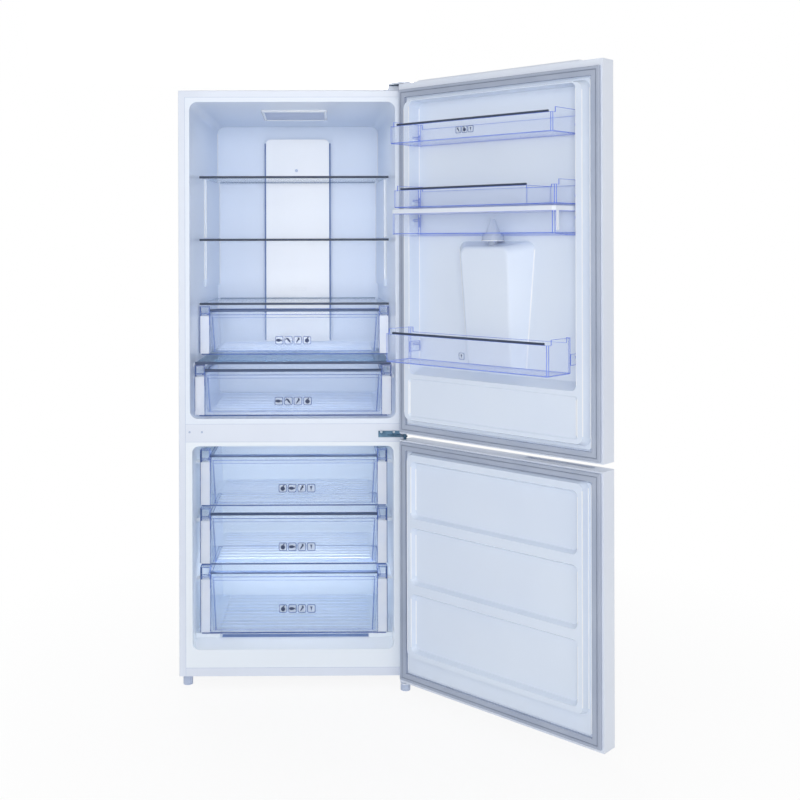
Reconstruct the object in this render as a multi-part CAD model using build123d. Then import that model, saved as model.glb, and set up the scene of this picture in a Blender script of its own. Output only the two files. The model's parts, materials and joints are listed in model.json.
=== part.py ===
from build123d import *
import os
from math import atan, degrees

# Bottom freezer refrigerator with both doors hinged on the right, stored with the doors open.
# Millimetres, +Z up. The origin is on the floor, on the axis that both doors swing about,
# which is also the middle of the front right foot's sole. The doors face -Y when shut.
# The cabinet is modelled with x from its middle and y from its front plane. Each door is modelled
# shut, with x from its middle and y out of its inner face.

# --- cabinet body ---------------------------------------------------------------------------
cab_w = 700.0              # outside width
cab_d = 640.0              # depth without the doors
cab_h = 1797.0             # underside to top
foot_h = 33.0              # floor to underside
sheet = 1.0                # steel sheet of cabinet and doors
flange_side = 20.0         # folded front flange at the sides
flange_top = 21.0          # folded front flange at the top
cab_edge_r = 3.0           # rounded front and top edges
fold_gap = 0.3             # between sheets that lie inside each other
tray_t = 1.5               # base tray sheet
kick_h = 25.5              # front fold of the base tray
back_inset = 2.0           # back panel ahead of the side walls' rear edge
bead_in = 60.0             # stiffening bead of the back panel, from its edges
bead_w = 6.0
bead_cut = 30.0
bead_proud = 1.0

# --- compartments, from the bottom of the front to its top --------------------------------------
lip_h = 81.0               # underside to freezer opening
freezer_h = 624.0          # freezer opening
mullion_h = 84.0           # between the openings
head_h = 36.0              # fridge opening to cabinet top
fridge_w = 632.0
fridge_draft = 32.0        # each side wall leans in by this much over the depth
fridge_depth = 530.0
fridge_floor_rise = 10.0   # floor is higher at the back
fridge_ceiling_drop = 24.0
fridge_r = 25.0
freezer_w = 618.0
freezer_draft = 11.0
freezer_depth = 440.0
freezer_ceiling_drop = 12.0
freezer_r = 20.0
ramp_run = 60.0            # front ramp up to the freezer floor
ramp_rise = 15.0
ramp_gap = 3.0
floor_slot_in = 76.0       # raised side strips of the freezer floor
liner_t = 2.5
core_cut = 0.6             # corner cut of a hidden side, as a share of the open side's radius
flange_t = 2.0             # liner flange at the front
cover_t = 2.0              # mullion cover strip
cover_h = 55.0
cover_drop = 1.5           # cover's middle below the mullion's

# --- machine compartment -----------------------------------------------------------------------
bay_d = 190.0
bay_h = 252.0
louvre_count = 9
louvre_h = 5.0
louvre_gap = 12.0
louvre_w = 210.0
louvre_in = 24.0           # from the middle
compressor_x = -120.0
compressor_r = 74.0
compressor_h = 165.0
grommet_w = 18.0
grommet_h = 18.0
grommet_x = 84.0
grommet_y = 50.0
base_plate_t = 4.0
base_plate_rim = 11.0

# --- door hinges and door outline ------------------------------------------------------------
pin_inset = 8.0            # hinge axis in from the cabinet's side
pin_ahead = 25.0           # hinge axis ahead of the cabinet's front
pin_r = 4.5
pin_gap = 0.05             # running clearance of a pin in its socket
pin_depth = 15.0           # pin inside a door
socket_depth = 18.0
door_open = 135.94         # opening angle as stored
door_gap = 10.0            # cabinet front to inner door face when shut
door_t = 58.0
door_rise = 14.0           # upper door above the cabinet top
door_drop = 6.4            # lower door below the cabinet underside
split_above_freezer = 33.7 # middle of the gap between the doors
split_gap = 20.0
door_edge_r = 6.0
cap_h = 30.0               # plastic end caps
cap_rim = 2.0
cap_gap = 0.2              # cap inside the door's steel skin
plug_cut = 3.6             # corner cut of what lies inside the skin's rounded edges
return_w = 12.0            # inner fold of the door skin
strip_w = 562.0            # raised strip on the upper door's top cap
strip_shift = 6.0
strip_h = 6.0
strip_in = 8.0             # from the cap's front edge
strip_back = 10.0
strip_slope = 4.0
grip_w = 220.0             # finger groove near the free end
grip_d = 22.0
grip_h = 16.0
grip_in = 50.0
grip_r = 6.0
plate_t = 3.0              # hinge brackets
arm_t = 4.0                # middle hinge arm
eye_r = 8.0                # bracket end round the pin
top_arm_w = 43.0
top_arm_up = 0.8           # above the upper door
top_plate_w = 64.0
top_plate_d = 96.0
top_plate_in = 14.0        # behind the cabinet's front
top_plate_cut = 8.0
mid_plate_w = 68.0         # middle hinge plate
mid_plate_down = 7.0
mid_plate_up = 12.5
mid_arm_w = 40.0
mid_plate_end = 12.0       # plate's end from the hinge axis
cover_nose_r = 20.0        # hinge cover round the pin
cover_w = 53.0
cover_d = 108.0
cover_up = 0.5             # over the upper door
cover_roof = 6.3
cover_wall = 1.5
cover_in = 10.0
cover_edge = 1.2
low_arm_z = 19.0           # bottom hinge arm above the floor
low_plate_w = 66.0
low_plate_in = 36.0        # behind the cabinet's front
low_plate_d = 60.0
bush_r = 9.0

# --- door liners and gaskets ---------------------------------------------------------------------
gasket_w = 24.0
gasket_t = 9.5
gasket_side = 6.0          # door edge to gasket
gasket_up_top = 19.0
gasket_up_bottom = 5.5
gasket_low_top = 4.0
gasket_low_bottom = 9.8
gasket_edge = 2.0
gasket_groove_in = 8.0
gasket_groove_w = 3.0
gasket_groove_d = 1.5
skin_t = 2.0               # liner plate behind the inner face
mould_gap = 2.0            # liner mouldings to the edge of the compartment's opening
step_h = 3.0               # shallow step between gasket and moulding
step_in = 3.0
step_cut = 5.0
dyke_h = 30.0              # upper door liner, rim above the inner face
dyke_draft = 8.0
dyke_r = 22.0
dyke_rim = 28.0            # width of the rim
recess_floor = -14.0
recess_top_rim = 8.0
recess_draft = 4.0
recess_r = 16.0
sill_slope = 20.0          # bottom of the recess
lower_block_h = 155.0      # solid lower part of the upper liner, above its lower edge
panel_in = 24.0            # recessed panel in that part
panel_up = 17.0
panel_down = 20.0
panel_d = 3.0
panel_slope = 5.0
panel_r = 12.0
low_liner_h = 25.0         # lower door liner above the inner face
low_mould_drop = 5.0       # its top below the freezer opening's
low_draft = 6.0
low_r = 18.0
pocket_in = 29.0           # recessed panels of the lower door liner
pocket_top = 24.5
pocket_bottom = 21.0
pocket_h = 171.0           # upper two panels; the third takes what is left
pocket_bar = 26.0
pocket_floor = 10.0
pocket_slope = 8.0
pocket_r = 18.0

# --- door bins and water tank ---------------------------------------------------------------------
bin_side_gap = 9.0         # bin to the side of the recess
bin_t = 2.2
bin_cut = 4.0              # cut corners
bin_edge = 2.0
bin_back_gap = 6.0         # bin to the back of the recess
top_bin_drop = 195.0       # underside below the door's top
top_bin_h = 51.0
top_bin_front = 126.0
mid_bin_drop = 381.0
mid_bin_h = 51.0
mid_bin_front = 110.0
mid_bin_step = 92.0        # lower end section beside the tank's filler
mid_bin_step_down = 7.0
mid_bin_step_d = 30.0
low_bin_up = 37.0          # underside above the lower block
low_bin_h = 82.0
low_bin_front = 148.0
low_bin_back = 38.0
bin_end_rise = 14.0
bin_end_w = 14.0
bin_end_slope_d = 16.0
trim_hinge_end = 27.0      # trim bar to the bin's ends
trim_free_end = 14.0
trim_h = 6.0
trim_lap = 6.0
trim_proud = 1.5
tank_drop = 463.0
tank_h = 65.0
tank_front = 118.0
tank_dip = 5.0
tank_cut = 5.0             # cut corners
tank_shoulder = 3.0
lid_h = 13.0
lid_edge = 2.0
lid_tab_h = 51.0
lid_tab_w = 9.0
lug_h = 10.0               # seats of the bins in the recess
lug_d = 26.0
lug_in = 1.5               # beyond the bin's end
top_lug_up = 22.0          # above the underside of its bin
mid_lug_up = 20.0
low_lug_up = 40.0
tank_lug_up = 44.0
hook_t = 5.0
hook_gap = 5.0             # hook to the side of the recess
cheek_down = 18.0
cheek_up = 12.0
seat_gap = 0.3             # between a loose piece and what carries it

# --- dispenser -------------------------------------------------------------------------------------
bulge_w = 164.0            # front of the bulge
bulge_foot_w = 262.0
bulge_drop = 495.0         # its front edge below the door's top
bulge_h = 329.0
bulge_roof = 16.0          # rise of its roof towards the door
bulge_heel = 8.0
bulge_top_b = 50.0         # out from the inner face
bulge_bottom_b = 22.0
bulge_r = 24.0
bulge_edge_r = 12.0        # its upright edges and the roof's front edge
bulge_narrow = 30.0        # each side leans in towards its foot
alcove_w = 150.0
alcove_h = 225.0
alcove_drop = 39.0         # below the bulge's front edge
alcove_top_b = 34.0
alcove_bottom_b = 14.0
alcove_fit = 0.1
bezel_w = 206.0
bezel_rim = 28.0
bezel_head = 22.0
bezel_proud = 2.0
bezel_r = 16.0
housing_t = 3.0
drip_bars = 9
drip_pitch = 15.0
drip_bar_w = 3.0
drip_h = 6.0
nozzle_r = 9.0
nozzle_h = 22.0
lever_b = -2.0
lever_drop = 14.0          # pivot below the alcove's roof
nozzle_b = lever_b - 18.0
lever_w = 46.0
lever_t = 4.0
lever_len = 118.0
lever_toe = 5.0
lever_toe_h = 12.0
lever_pin_r = 3.0
lever_ear_t = 4.0
lever_ear_gap = 1.0
lever_ear_r = 6.0
valve_r = 31.0
valve_ring_h = 14.0
valve_b = 19.0
valve_x = -12.0
spout_r = 13.0
spout_h = 30.0
plunger_r = 24.0
plunger_tip_r = 7.0
plunger_h = 48.0
valve_sides = 12           # of plunger and spout
plunger_gap = 1.5

# --- shelves --------------------------------------------------------------------------------------
crisper_shelf_up = 168.0   # above the fridge floor's front edge
lower_shelf_up = 175.8     # each above the one below it
middle_shelf_up = 205.4
top_shelf_up = 200.6
shelf_front = 148.0
shelf_back = 500.0
shelf_in = 13.0            # front trim to the side wall's front edge
shelf_side_gap = 3.0
glass_t = 4.0
glass_r = 12.0
trim_t = 7.0
trim_d = 12.0
trim_edge = 1.5
pad_t = 7.0                # columns on the side walls
pad_front = 262.0
pad_foot = 51.0            # lower shelf to the columns' feet
pad_foot_h = 24.0
pad_flare = 9.0
groove_gap = 4.0           # above a shelf's glass
crisper_shelf_front = 28.0
crisper_shelf_back = 490.0
frame_strip = 30.0
frame_t = 2.5
frame_lap = 8.0
frame_clear = 0.75

# --- drawers -----------------------------------------------------------------------------------------
upper_crisper_in = 13.0    # drawer's side to the opening's edge
upper_crisper_front = 149.0
upper_crisper_d = 340.0
upper_crisper_up = 13.5    # underside above the crisper shelf
upper_crisper_h = 141.0    # underside to the middle of the trim
upper_crisper_ears = 13.5
upper_crisper_heel_r = 6.0 # lower corners of its front
upper_crisper_lift = 8.0   # tub's floor above the underside
upper_crisper_ribs = 9
lower_crisper_in = 11.0
lower_crisper_front = 29.0
lower_crisper_d = 440.0
lower_crisper_up = 4.0
lower_crisper_h = 139.6
lower_crisper_ears = 17.4
lower_crisper_heel_r = 15.0
lower_crisper_lift = 10.0
lower_crisper_ribs = 11
freezer_drawer_in = 17.0
freezer_drawer_front = 58.0
freezer_drawer_d = 365.0
freezer_drawer_h = 154.5   # the bottom drawer takes what is left
freezer_drawer_drop = 42.7 # opening's top to the first trim
freezer_drawer_gap = 28.2  # trim to the drawer above
freezer_drawer_up = 14.2   # above the freezer floor
freezer_drawer_ears = 20.7
freezer_drawer_heel_r = 5.0
freezer_drawer_lift = 4.0
freezer_drawer_ribs = 10
drawer_wall = 2.2
front_t = 3.0
post_w = 31.0
post_d = 26.0
cell_h = 8.0               # shelf inside the corner posts, below the trim
grip_lean = 12.0           # the front leans back under the trim
grip_zone = 42.0
tub_over = 2.0             # tub beyond the front panel's edge
tub_front = 9.0
tub_draft = 8.0
tub_cut = 9.0              # cut corners of the tub
lip_w = 9.0
lip_drop = 14.0            # trim middle to side lips
rail_t = 10.0
rail_gap = 3.0
rail_side_gap = 2.5
rib_w = 3.0
rib_h = 1.6
rib_in = 24.0
rib_ends = 40.0
trim_back = 5.0

# --- air duct and lamp --------------------------------------------------------------------------------
duct_w = 222.0
duct_top = 69.0            # below the fridge opening's top
duct_up = 10.0             # above the upper crisper's underside
duct_face_t = 3.0
duct_d = 16.0
duct_core_in = 8.0
duct_core_up = 4.0
duct_r = 16.0
badge_w = 48.0             # small raised oblong
badge_h = 10.0
badge_up = 24.0            # above the lower shelf
badge_r = 3.0
badge_proud = 0.8
lamp_w = 212.0
lamp_y0 = 155.0
lamp_y1 = 350.0
lamp_t = 4.0
lamp_rim = 7.0
lamp_cut = 4.0
lens_d = 1.0

# --- feet and rollers -------------------------------------------------------------------------------
foot_r = 15.0
foot_sides = 12
foot_inset = 23.5
foot_y = 30.0
roller_r = 18.0
roller_w = 24.0
roller_x = 300.0
roller_y = 600.0
axle_r = 4.0
ear_t = 2.0
ear_half = 14.0
ear_down = 8.0
ear_cut = 6.0
bump_x = (254.0, -250.0)   # glides under the lower door
bump_w = 44.0
bump_d = 30.0
bump_in = 14.0
bump_h = 9.0
bump_edge = 3.0

# --- levels and places that follow ------------------------------------------------------------------
base_z = foot_h
cab_top = base_z + cab_h
freezer_z0 = base_z + lip_h
freezer_z1 = freezer_z0 + freezer_h
fridge_z0 = freezer_z1 + mullion_h
fridge_z1 = cab_top - head_h
cover_z0 = freezer_z1 + (mullion_h - cover_h) / 2 - cover_drop
cover_z1 = cover_z0 + cover_h
split_z = freezer_z1 + split_above_freezer
up_z0 = split_z + split_gap / 2
up_z1 = cab_top + door_rise
low_z0 = base_z - door_drop
low_z1 = split_z - split_gap / 2
freezer_floor = freezer_z0 + ramp_rise
rear = cab_d - back_inset
bay_y = rear - bay_d
bay_top = base_z + bay_h
half_w = cab_w / 2
pin_x = half_w - pin_inset
over = 1.0                 # how far a cutter passes the face that it cuts
place_cab = Pos(-pin_x, pin_ahead, 0)
place_door = Rot(0, 0, door_open) * Pos(-pin_x, pin_ahead - door_gap, 0)

crisper_shelf_z = fridge_z0 + crisper_shelf_up
lower_shelf_z = crisper_shelf_z + lower_shelf_up
middle_shelf_z = lower_shelf_z + middle_shelf_up
top_shelf_z = middle_shelf_z + top_shelf_up
shelf_half = fridge_w / 2 - shelf_in

up_dyke_w = fridge_w - 2 * mould_gap
recess_w = up_dyke_w - 2 * dyke_rim
low_dyke_w = freezer_w - 2 * mould_gap
up_dyke_z = (fridge_z0 + mould_gap, fridge_z1 - mould_gap)
low_dyke_z = (freezer_z0 + mould_gap, freezer_z1 - low_mould_drop)
block_top = up_dyke_z[0] + lower_block_h
bin_w = recess_w - 2 * bin_side_gap
bin_back = recess_floor + bin_back_gap
top_bin_z = up_z1 - top_bin_drop
mid_bin_z = up_z1 - mid_bin_drop
low_bin_z = block_top + low_bin_up
tank_z = up_z1 - tank_drop
bulge_z1 = up_z1 - bulge_drop
bulge_z0 = bulge_z1 - bulge_h
alcove_z1 = bulge_z1 - alcove_drop
alcove_z0 = alcove_z1 - alcove_h
lever_z = alcove_z1 - lever_drop
lug_tops = (top_bin_z + top_lug_up, mid_bin_z + mid_lug_up, low_bin_z + low_lug_up, tank_z + tank_lug_up)


# --- helpers ----------------------------------------------------------------------------------------
def block(x, y, z):
    """Box between pairs of limits."""
    centre = Pos((x[0] + x[1]) / 2, (y[0] + y[1]) / 2, (z[0] + z[1]) / 2)
    return centre * Box(x[1] - x[0], y[1] - y[0], z[1] - z[0])


def both_sides(shape):
    """The shape and its mirror image left of the middle."""
    return [shape, mirror(shape, about=Plane.YZ)]


def side_profile(points, half):
    """Polygon in (y, z), extruded to both sides of the middle."""
    face = make_face(Polyline([(y, z) for y, z in points], close=True).edges())
    return extrude(Plane.YZ.offset(-half) * face, 2 * half, dir=(1, 0, 0))


def plan_profile(points, z0, z1):
    """Polygon in (x, y), extruded from z0 to z1."""
    return Pos(0, 0, z0) * extrude(make_face(Polyline(points, close=True).edges()), z1 - z0)


def tapered(y0, y1, start, end, r, cut=fillet):
    """Body between two upright rectangles (width, bottom, top), with its long edges rounded or cut."""
    w0, low0, high0 = start
    w1, low1, high1 = end
    side = side_profile([(y0, low0), (y1, low1), (y1, high1), (y0, high0)], max(w0, w1) / 2)
    plan = plan_profile([(-w0 / 2, y0), (w0 / 2, y0), (w1 / 2, y1), (-w1 / 2, y1)],
                        min(low0, low1), max(high0, high1))
    body = side & plan
    long_edges = body.edges().filter_by(lambda e: abs((e @ 1).Y - (e @ 0).Y) > (y1 - y0) / 2)
    return cut(long_edges, r)


def rod(r, z0, z1, x, y):
    """Upright cylinder."""
    return Pos(x, y, z0) * extrude(Circle(r), z1 - z0)


def cross_rod(r, x0, x1, y, z):
    """Cylinder along X."""
    return Pos((x0 + x1) / 2, y, z) * Rot(0, 90, 0) * Cylinder(r, x1 - x0)


def edges_at(shape, along, side):
    """Edges parallel to one axis at an end of the Y or Z extent; side is (axis, index)."""
    return shape.edges().filter_by(along).group_by(side[0])[side[1]]


# --- compartments ------------------------------------------------------------------------------------
class Cavity:
    """Tapered room of a compartment."""

    def __init__(self, w, draft, z0, z1, rise, drop, r, depth):
        self.w, self.draft = w, draft
        self.z0, self.z1 = z0, z1
        self.rise, self.drop = rise, drop
        self.r, self.depth = r, depth

    def half_width(self, y):
        return self.w / 2 - self.draft * y / self.depth

    def ceiling(self, y):
        return self.z1 - self.drop * y / self.depth

    def floor(self, y):
        return self.z0 + self.rise * y / self.depth

    def section(self, y, grow):
        return 2 * (self.half_width(y) + grow), self.floor(y) - grow, self.ceiling(y) + grow

    def room(self):
        return tapered(-over, self.depth, self.section(-over, 0), self.section(self.depth, 0), self.r)

    def envelope(self):
        back = self.depth + liner_t
        return tapered(0, back, self.section(0, liner_t), self.section(back, liner_t),
                       core_cut * self.r, chamfer)

    def between_pads(self):
        """Room between columns of pad_t on both side walls, taller than the compartment."""
        back = self.depth + 2 * liner_t
        points = [(self.half_width(-over) - pad_t, -over), (self.half_width(back) - pad_t, back)]
        outline = points + [(-x, y) for x, y in reversed(points)]
        return plan_profile(outline, self.z0 - head_h, self.z1 + head_h)


fridge = Cavity(fridge_w, fridge_draft, fridge_z0, fridge_z1, fridge_floor_rise, fridge_ceiling_drop,
                fridge_r, fridge_depth)
freezer = Cavity(freezer_w, freezer_draft, freezer_z0, freezer_z1, 0.0, freezer_ceiling_drop,
                 freezer_r, freezer_depth)


class Tub:
    """Sizes of a drawer: half width, front, depth, underside, middle of the trim, top of its ears."""

    def __init__(self, half, front, depth, base, trim, ears):
        self.half, self.front, self.depth = half, front, depth
        self.base, self.trim, self.ears = base, trim, ears
        self.panel_half = half - post_w
        self.tub_half = self.panel_half + tub_over
        self.back = front + depth
        self.lip = trim - lip_drop


def crisper(inset, front, depth, base, height, ears):
    return Tub(fridge_w / 2 - inset, front, depth, base, base + height, base + height + ears)


def freezer_tubs():
    """Top, middle and bottom drawer, counted from the opening's top."""
    tubs = []
    trim = freezer_z1 - freezer_drawer_drop
    for base in (trim - freezer_drawer_h, trim - 2 * freezer_drawer_h - freezer_drawer_gap,
                 freezer_floor + freezer_drawer_up):
        tubs.append(Tub(freezer_w / 2 - freezer_drawer_in, freezer_drawer_front, freezer_drawer_d,
                        base, trim, trim + freezer_drawer_ears))
        trim = base - freezer_drawer_gap
    return tubs


upper_crisper = crisper(upper_crisper_in, upper_crisper_front, upper_crisper_d,
                        crisper_shelf_z + upper_crisper_up, upper_crisper_h, upper_crisper_ears)
lower_crisper = crisper(lower_crisper_in, lower_crisper_front, lower_crisper_d,
                        fridge_z0 + lower_crisper_up, lower_crisper_h, lower_crisper_ears)


def rail(inner, y0, y1, top):
    """Ledge on a side wall; the liner trims its outer side."""
    return block((inner, half_w), (y0, y1), (top - rail_t, top))


def drawer_rail(tub, back):
    return rail(tub.tub_half + rail_side_gap, tub.front + post_d + rail_gap, min(tub.back, back),
                tub.lip - drawer_wall - seat_gap)


def column(z0, z1, flared):
    """Raised column on both side walls, under a shelf; its foot is wider where flared."""
    back = fridge_depth
    if flared:
        outline = [(pad_front, z0 + pad_foot_h), (pad_front - pad_flare, z0), (back, z0), (back, z1),
                   (pad_front, z1)]
    else:
        outline = [(pad_front, z0), (back, z0), (back, z1), (pad_front, z1)]
    return (side_profile(outline, half_w) - fridge.between_pads()) & fridge.envelope()


def make_fridge_liner():
    flange = block((-half_w + flange_side, half_w - flange_side), (0, flange_t),
                   (cover_z1, cab_top - flange_top))
    shell = (flange + fridge.envelope()) - fridge.room()
    frame_under = crisper_shelf_z - glass_t / 2 - frame_t - seat_gap
    ledges = [drawer_rail(upper_crisper, fridge_depth), drawer_rail(lower_crisper, fridge_depth),
              rail(lower_crisper.tub_half, lower_crisper.front + post_d + rail_gap, crisper_shelf_back,
                   frame_under)]
    for ledge in ledges:
        for side in both_sides(ledge):
            shell += side & fridge.envelope()
    seats = [z - glass_t / 2 - seat_gap for z in (lower_shelf_z, middle_shelf_z, top_shelf_z)]
    shell += column(seats[0] - rail_t, seats[0], False)
    shell += column(lower_shelf_z + pad_foot, seats[1], True)
    shell += column(middle_shelf_z + glass_t / 2 + groove_gap, seats[2], False)
    return shell


def make_freezer_liner():
    flange = block((-half_w + flange_side, half_w - flange_side), (0, flange_t),
                   (base_z + kick_h, cover_z0))
    shell = (flange + freezer.envelope()) - freezer.room()
    low = freezer_z0 - over
    ramp = side_profile([(0, low), (0, freezer_z0), (ramp_run, freezer_floor),
                         (freezer_depth, freezer_floor), (freezer_depth, low)], freezer_w / 2)
    shell += ramp & freezer.envelope()
    strip = block((freezer_w / 2 - floor_slot_in, half_w), (ramp_run + ramp_gap, freezer_depth),
                  (freezer_floor - over, freezer_floor + freezer_drawer_up - seat_gap))
    for ledge in [strip] + [drawer_rail(tub, freezer_depth) for tub in freezer_tubs()]:
        for side in both_sides(ledge):
            shell += side & freezer.envelope()
    return shell


def make_cabinet_shell():
    def sleeve(inset, y0, y1, z0):
        body = block((-half_w + inset, half_w - inset), (y0, y1), (z0, cab_top - inset))
        upright_edges = edges_at(body, Axis.Z, (Axis.Y, 0))
        top_edges = body.edges().group_by(Axis.Z)[-1].sort_by(Axis.Y)[:-1]
        if inset:
            return chamfer(upright_edges + top_edges, core_cut * cab_edge_r)
        return fillet(upright_edges + top_edges, cab_edge_r)

    outer = sleeve(0, 0, cab_d, base_z)
    inner = sleeve(sheet, sheet, cab_d + over, base_z - over)
    opening = block((-half_w + flange_side, half_w - flange_side), (-over, 3 * sheet),
                    (base_z - over, cab_top - flange_top))
    return outer - inner - opening


def make_back_panel():
    inset = sheet + fold_gap
    panel = block((-half_w + inset, half_w - inset), (rear - sheet, rear),
                  (bay_top + tray_t, cab_top - inset))
    panel = chamfer(edges_at(panel, Axis.Y, (Axis.Z, -1)), cab_edge_r)

    def plate(inward, y0, y1):
        body = block((-half_w + inward, half_w - inward), (y0, y1), (bay_top + inward, cab_top - inward))
        return chamfer(body.edges().filter_by(Axis.Y), bead_cut)

    bead = plate(bead_in, rear - sheet, rear + bead_proud)
    return panel + (bead - plate(bead_in + bead_w, rear - 2 * sheet, rear + 2 * bead_proud))


def roller_bracket(side):
    """Two ears and the axle between them."""
    ear_x = roller_w / 2 + seat_gap + ear_t / 2
    bracket = cross_rod(axle_r, side * roller_x - ear_x, side * roller_x + ear_x, roller_y, roller_r)
    for end in (-1, 1):
        middle = side * roller_x + end * ear_x
        ear = block((middle - ear_t / 2, middle + ear_t / 2), (roller_y - ear_half, roller_y + ear_half),
                    (roller_r - ear_down, base_z + tray_t))
        bracket += chamfer(edges_at(ear, Axis.X, (Axis.Z, 0)), ear_cut)
    return bracket


def make_base_tray():
    inset = sheet + fold_gap
    x = (-half_w + inset, half_w - inset)
    x_front = (-half_w + flange_side, half_w - flange_side)
    tray = block(x_front, (0, tray_t), (base_z, base_z + kick_h))
    tray += block(x_front, (0, rear), (base_z, base_z + tray_t))
    tray += block(x, (cab_edge_r, rear), (base_z, base_z + tray_t))
    tray += block(x, (bay_y, bay_y + tray_t), (base_z, bay_top + tray_t))
    tray += block(x, (bay_y, rear), (bay_top, bay_top + tray_t))
    for side in (-1, 1):
        tray += roller_bracket(side)
        reach = roller_w / 2 + seat_gap
        tray -= block((side * roller_x - reach, side * roller_x + reach),
                      (roller_y - roller_r - axle_r, roller_y + roller_r + axle_r),
                      (base_z - over, base_z + tray_t + over))
    return tray


def make_foam():
    inset = sheet + tray_t
    core = block((-half_w + inset, half_w - inset), (flange_t, rear - sheet),
                 (base_z + tray_t, cab_top - inset))
    core -= block((-half_w, half_w), (bay_y, cab_d), (0, bay_top + tray_t))
    return core - fridge.envelope() - freezer.envelope()


def make_mullion_cover():
    x = half_w - flange_side
    return block((-x, x), (0, cover_t), (cover_z0, cover_z1))


def make_machine_cover():
    gap = sheet + tray_t
    panel = block((-half_w + gap, half_w - gap), (rear - tray_t, rear), (base_z + tray_t, bay_top))
    for side in (-1, 1):
        for i in range(louvre_count):
            z = base_z + bay_h / 2 + (i - (louvre_count - 1) / 2) * (louvre_h + louvre_gap)
            x = side * (louvre_w / 2 + louvre_in)
            panel -= block((x - louvre_w / 2, x + louvre_w / 2), (rear - tray_t - over, rear + over),
                           (z - louvre_h / 2, z + louvre_h / 2))
    return panel


def make_compressor():
    y = bay_y + bay_d / 2
    z0 = base_z + tray_t + seat_gap
    foot = z0 + grommet_h
    body = rod(compressor_r, foot, z0 + compressor_h, compressor_x, y)
    x_rim = grommet_x + base_plate_rim
    y_rim = grommet_y + base_plate_rim
    body += block((compressor_x - x_rim, compressor_x + x_rim), (y - y_rim, y + y_rim),
                  (foot - base_plate_t, foot + base_plate_t / 2))
    for side in (-1, 1):
        for end in (-1, 1):
            x = compressor_x + side * grommet_x
            y_mount = y + end * grommet_y
            body += block((x - grommet_w / 2, x + grommet_w / 2),
                          (y_mount - grommet_w / 2, y_mount + grommet_w / 2), (z0, foot))
    return body


# --- things in the fridge compartment ---------------------------------------------------------------
def make_duct_panel():
    half = duct_w / 2
    top = fridge_z1 - duct_top
    foot = upper_crisper.base + duct_up
    face = fridge_depth - duct_d
    plate = block((-half, half), (face, face + duct_face_t), (foot, top))
    plate = fillet(edges_at(plate, Axis.Y, (Axis.Z, -1)), duct_r)
    core = block((-half + duct_core_in, half - duct_core_in), (face + duct_face_t, fridge_depth),
                 (foot + duct_core_up, top - duct_core_in))
    badge_z = lower_shelf_z + badge_up
    badge = block((-badge_w / 2, badge_w / 2), (face - badge_proud, face + duct_face_t / 2),
                  (badge_z, badge_z + badge_h))
    return plate + core + fillet(badge.edges().filter_by(Axis.Y), badge_r)


def make_lamp():
    """Cover with a raised rim, flat against the sloping ceiling."""
    length = lamp_y1 - lamp_y0
    lamp = extrude(chamfer(Rectangle(lamp_w, length).vertices(), lamp_cut), lamp_t)
    lens = extrude(Rectangle(lamp_w - 2 * lamp_rim, length - 2 * lamp_rim), lens_d)
    middle = (lamp_y0 + lamp_y1) / 2
    slope = degrees(atan(fridge_ceiling_drop / fridge_depth))
    return Pos(0, middle, fridge.ceiling(middle)) * Rot(-slope, 0, 0) * Pos(0, 0, -lamp_t) * (lamp - lens)


def shelf_outline(front, back, front_half):
    """Plan of a shelf that narrows with the side walls."""
    rear_half = fridge.half_width(back) - shelf_side_gap
    return [(-front_half, front), (front_half, front), (rear_half, back), (-rear_half, back)]


def glass_plate(z, front, back, front_half):
    plate = plan_profile(shelf_outline(front, back, front_half), z - glass_t / 2, z + glass_t / 2)
    return fillet(edges_at(plate, Axis.Z, (Axis.Y, -1)), glass_r)


def front_trim(z, front, half):
    """Moulding that wraps the glass's front edge."""
    trim = block((-half, half), (front, front + trim_d), (z - trim_t / 2, z + trim_t / 2))
    trim = chamfer(edges_at(trim, Axis.X, (Axis.Y, 0)), trim_edge)
    return trim - block((-half - over, half + over), (front + trim_d / 2, front + 2 * trim_d),
                        (z - glass_t / 2, z + glass_t / 2))


def make_shelf_glass(z):
    return glass_plate(z, shelf_front + trim_d / 2, shelf_back, shelf_half - over)


def make_crisper_shelf_glass():
    return glass_plate(crisper_shelf_z, crisper_shelf_front + trim_d / 2, crisper_shelf_back,
                       shelf_half - over)


def make_crisper_shelf_frame():
    under = crisper_shelf_z - glass_t / 2
    y0 = crisper_shelf_front + trim_d
    outline = shelf_outline(y0, crisper_shelf_back, shelf_half)
    plate = plan_profile(outline, under - frame_t, under)
    window_half = outline[2][0] - frame_strip
    window = block((-window_half, window_half), (y0 + frame_lap, crisper_shelf_back - frame_strip),
                   (under - frame_t - over, under + over))
    bridge = block((-shelf_half, shelf_half), (y0 - trim_d / 2, y0 + over),
                   (under - frame_t, under - frame_clear))
    return front_trim(crisper_shelf_z, crisper_shelf_front, shelf_half) + (plate - window) + bridge


# --- drawers -----------------------------------------------------------------------------------------
def drawer_front(tub):
    """Front panel that leans back under the trim."""
    top = tub.trim - trim_t / 2
    fold = top - grip_zone
    lean = tub.front + grip_lean
    return side_profile([(tub.front, tub.base), (tub.front, fold), (lean, top), (lean + front_t, top),
                         (tub.front + front_t, fold), (tub.front + front_t, tub.base)],
                        tub.panel_half + over)


def drawer_post(tub, heel_r):
    """Hollow corner post, open at its back, with an ear beside the trim."""
    w = drawer_wall
    shelf = tub.trim - trim_t / 2 - cell_h
    post = block((tub.panel_half, tub.half), (tub.front, tub.front + post_d), (tub.base, tub.ears))
    corner = edges_at(post, Axis.Y, (Axis.Z, 0)).sort_by(Axis.X)[-1]
    post = fillet(corner, heel_r)
    x = (tub.panel_half + w, tub.half - w)
    y = (tub.front + w, tub.front + 2 * post_d)
    return post - block(x, y, (tub.base + heel_r, shelf)) - block(x, y, (shelf + w, tub.ears - w))


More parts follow.
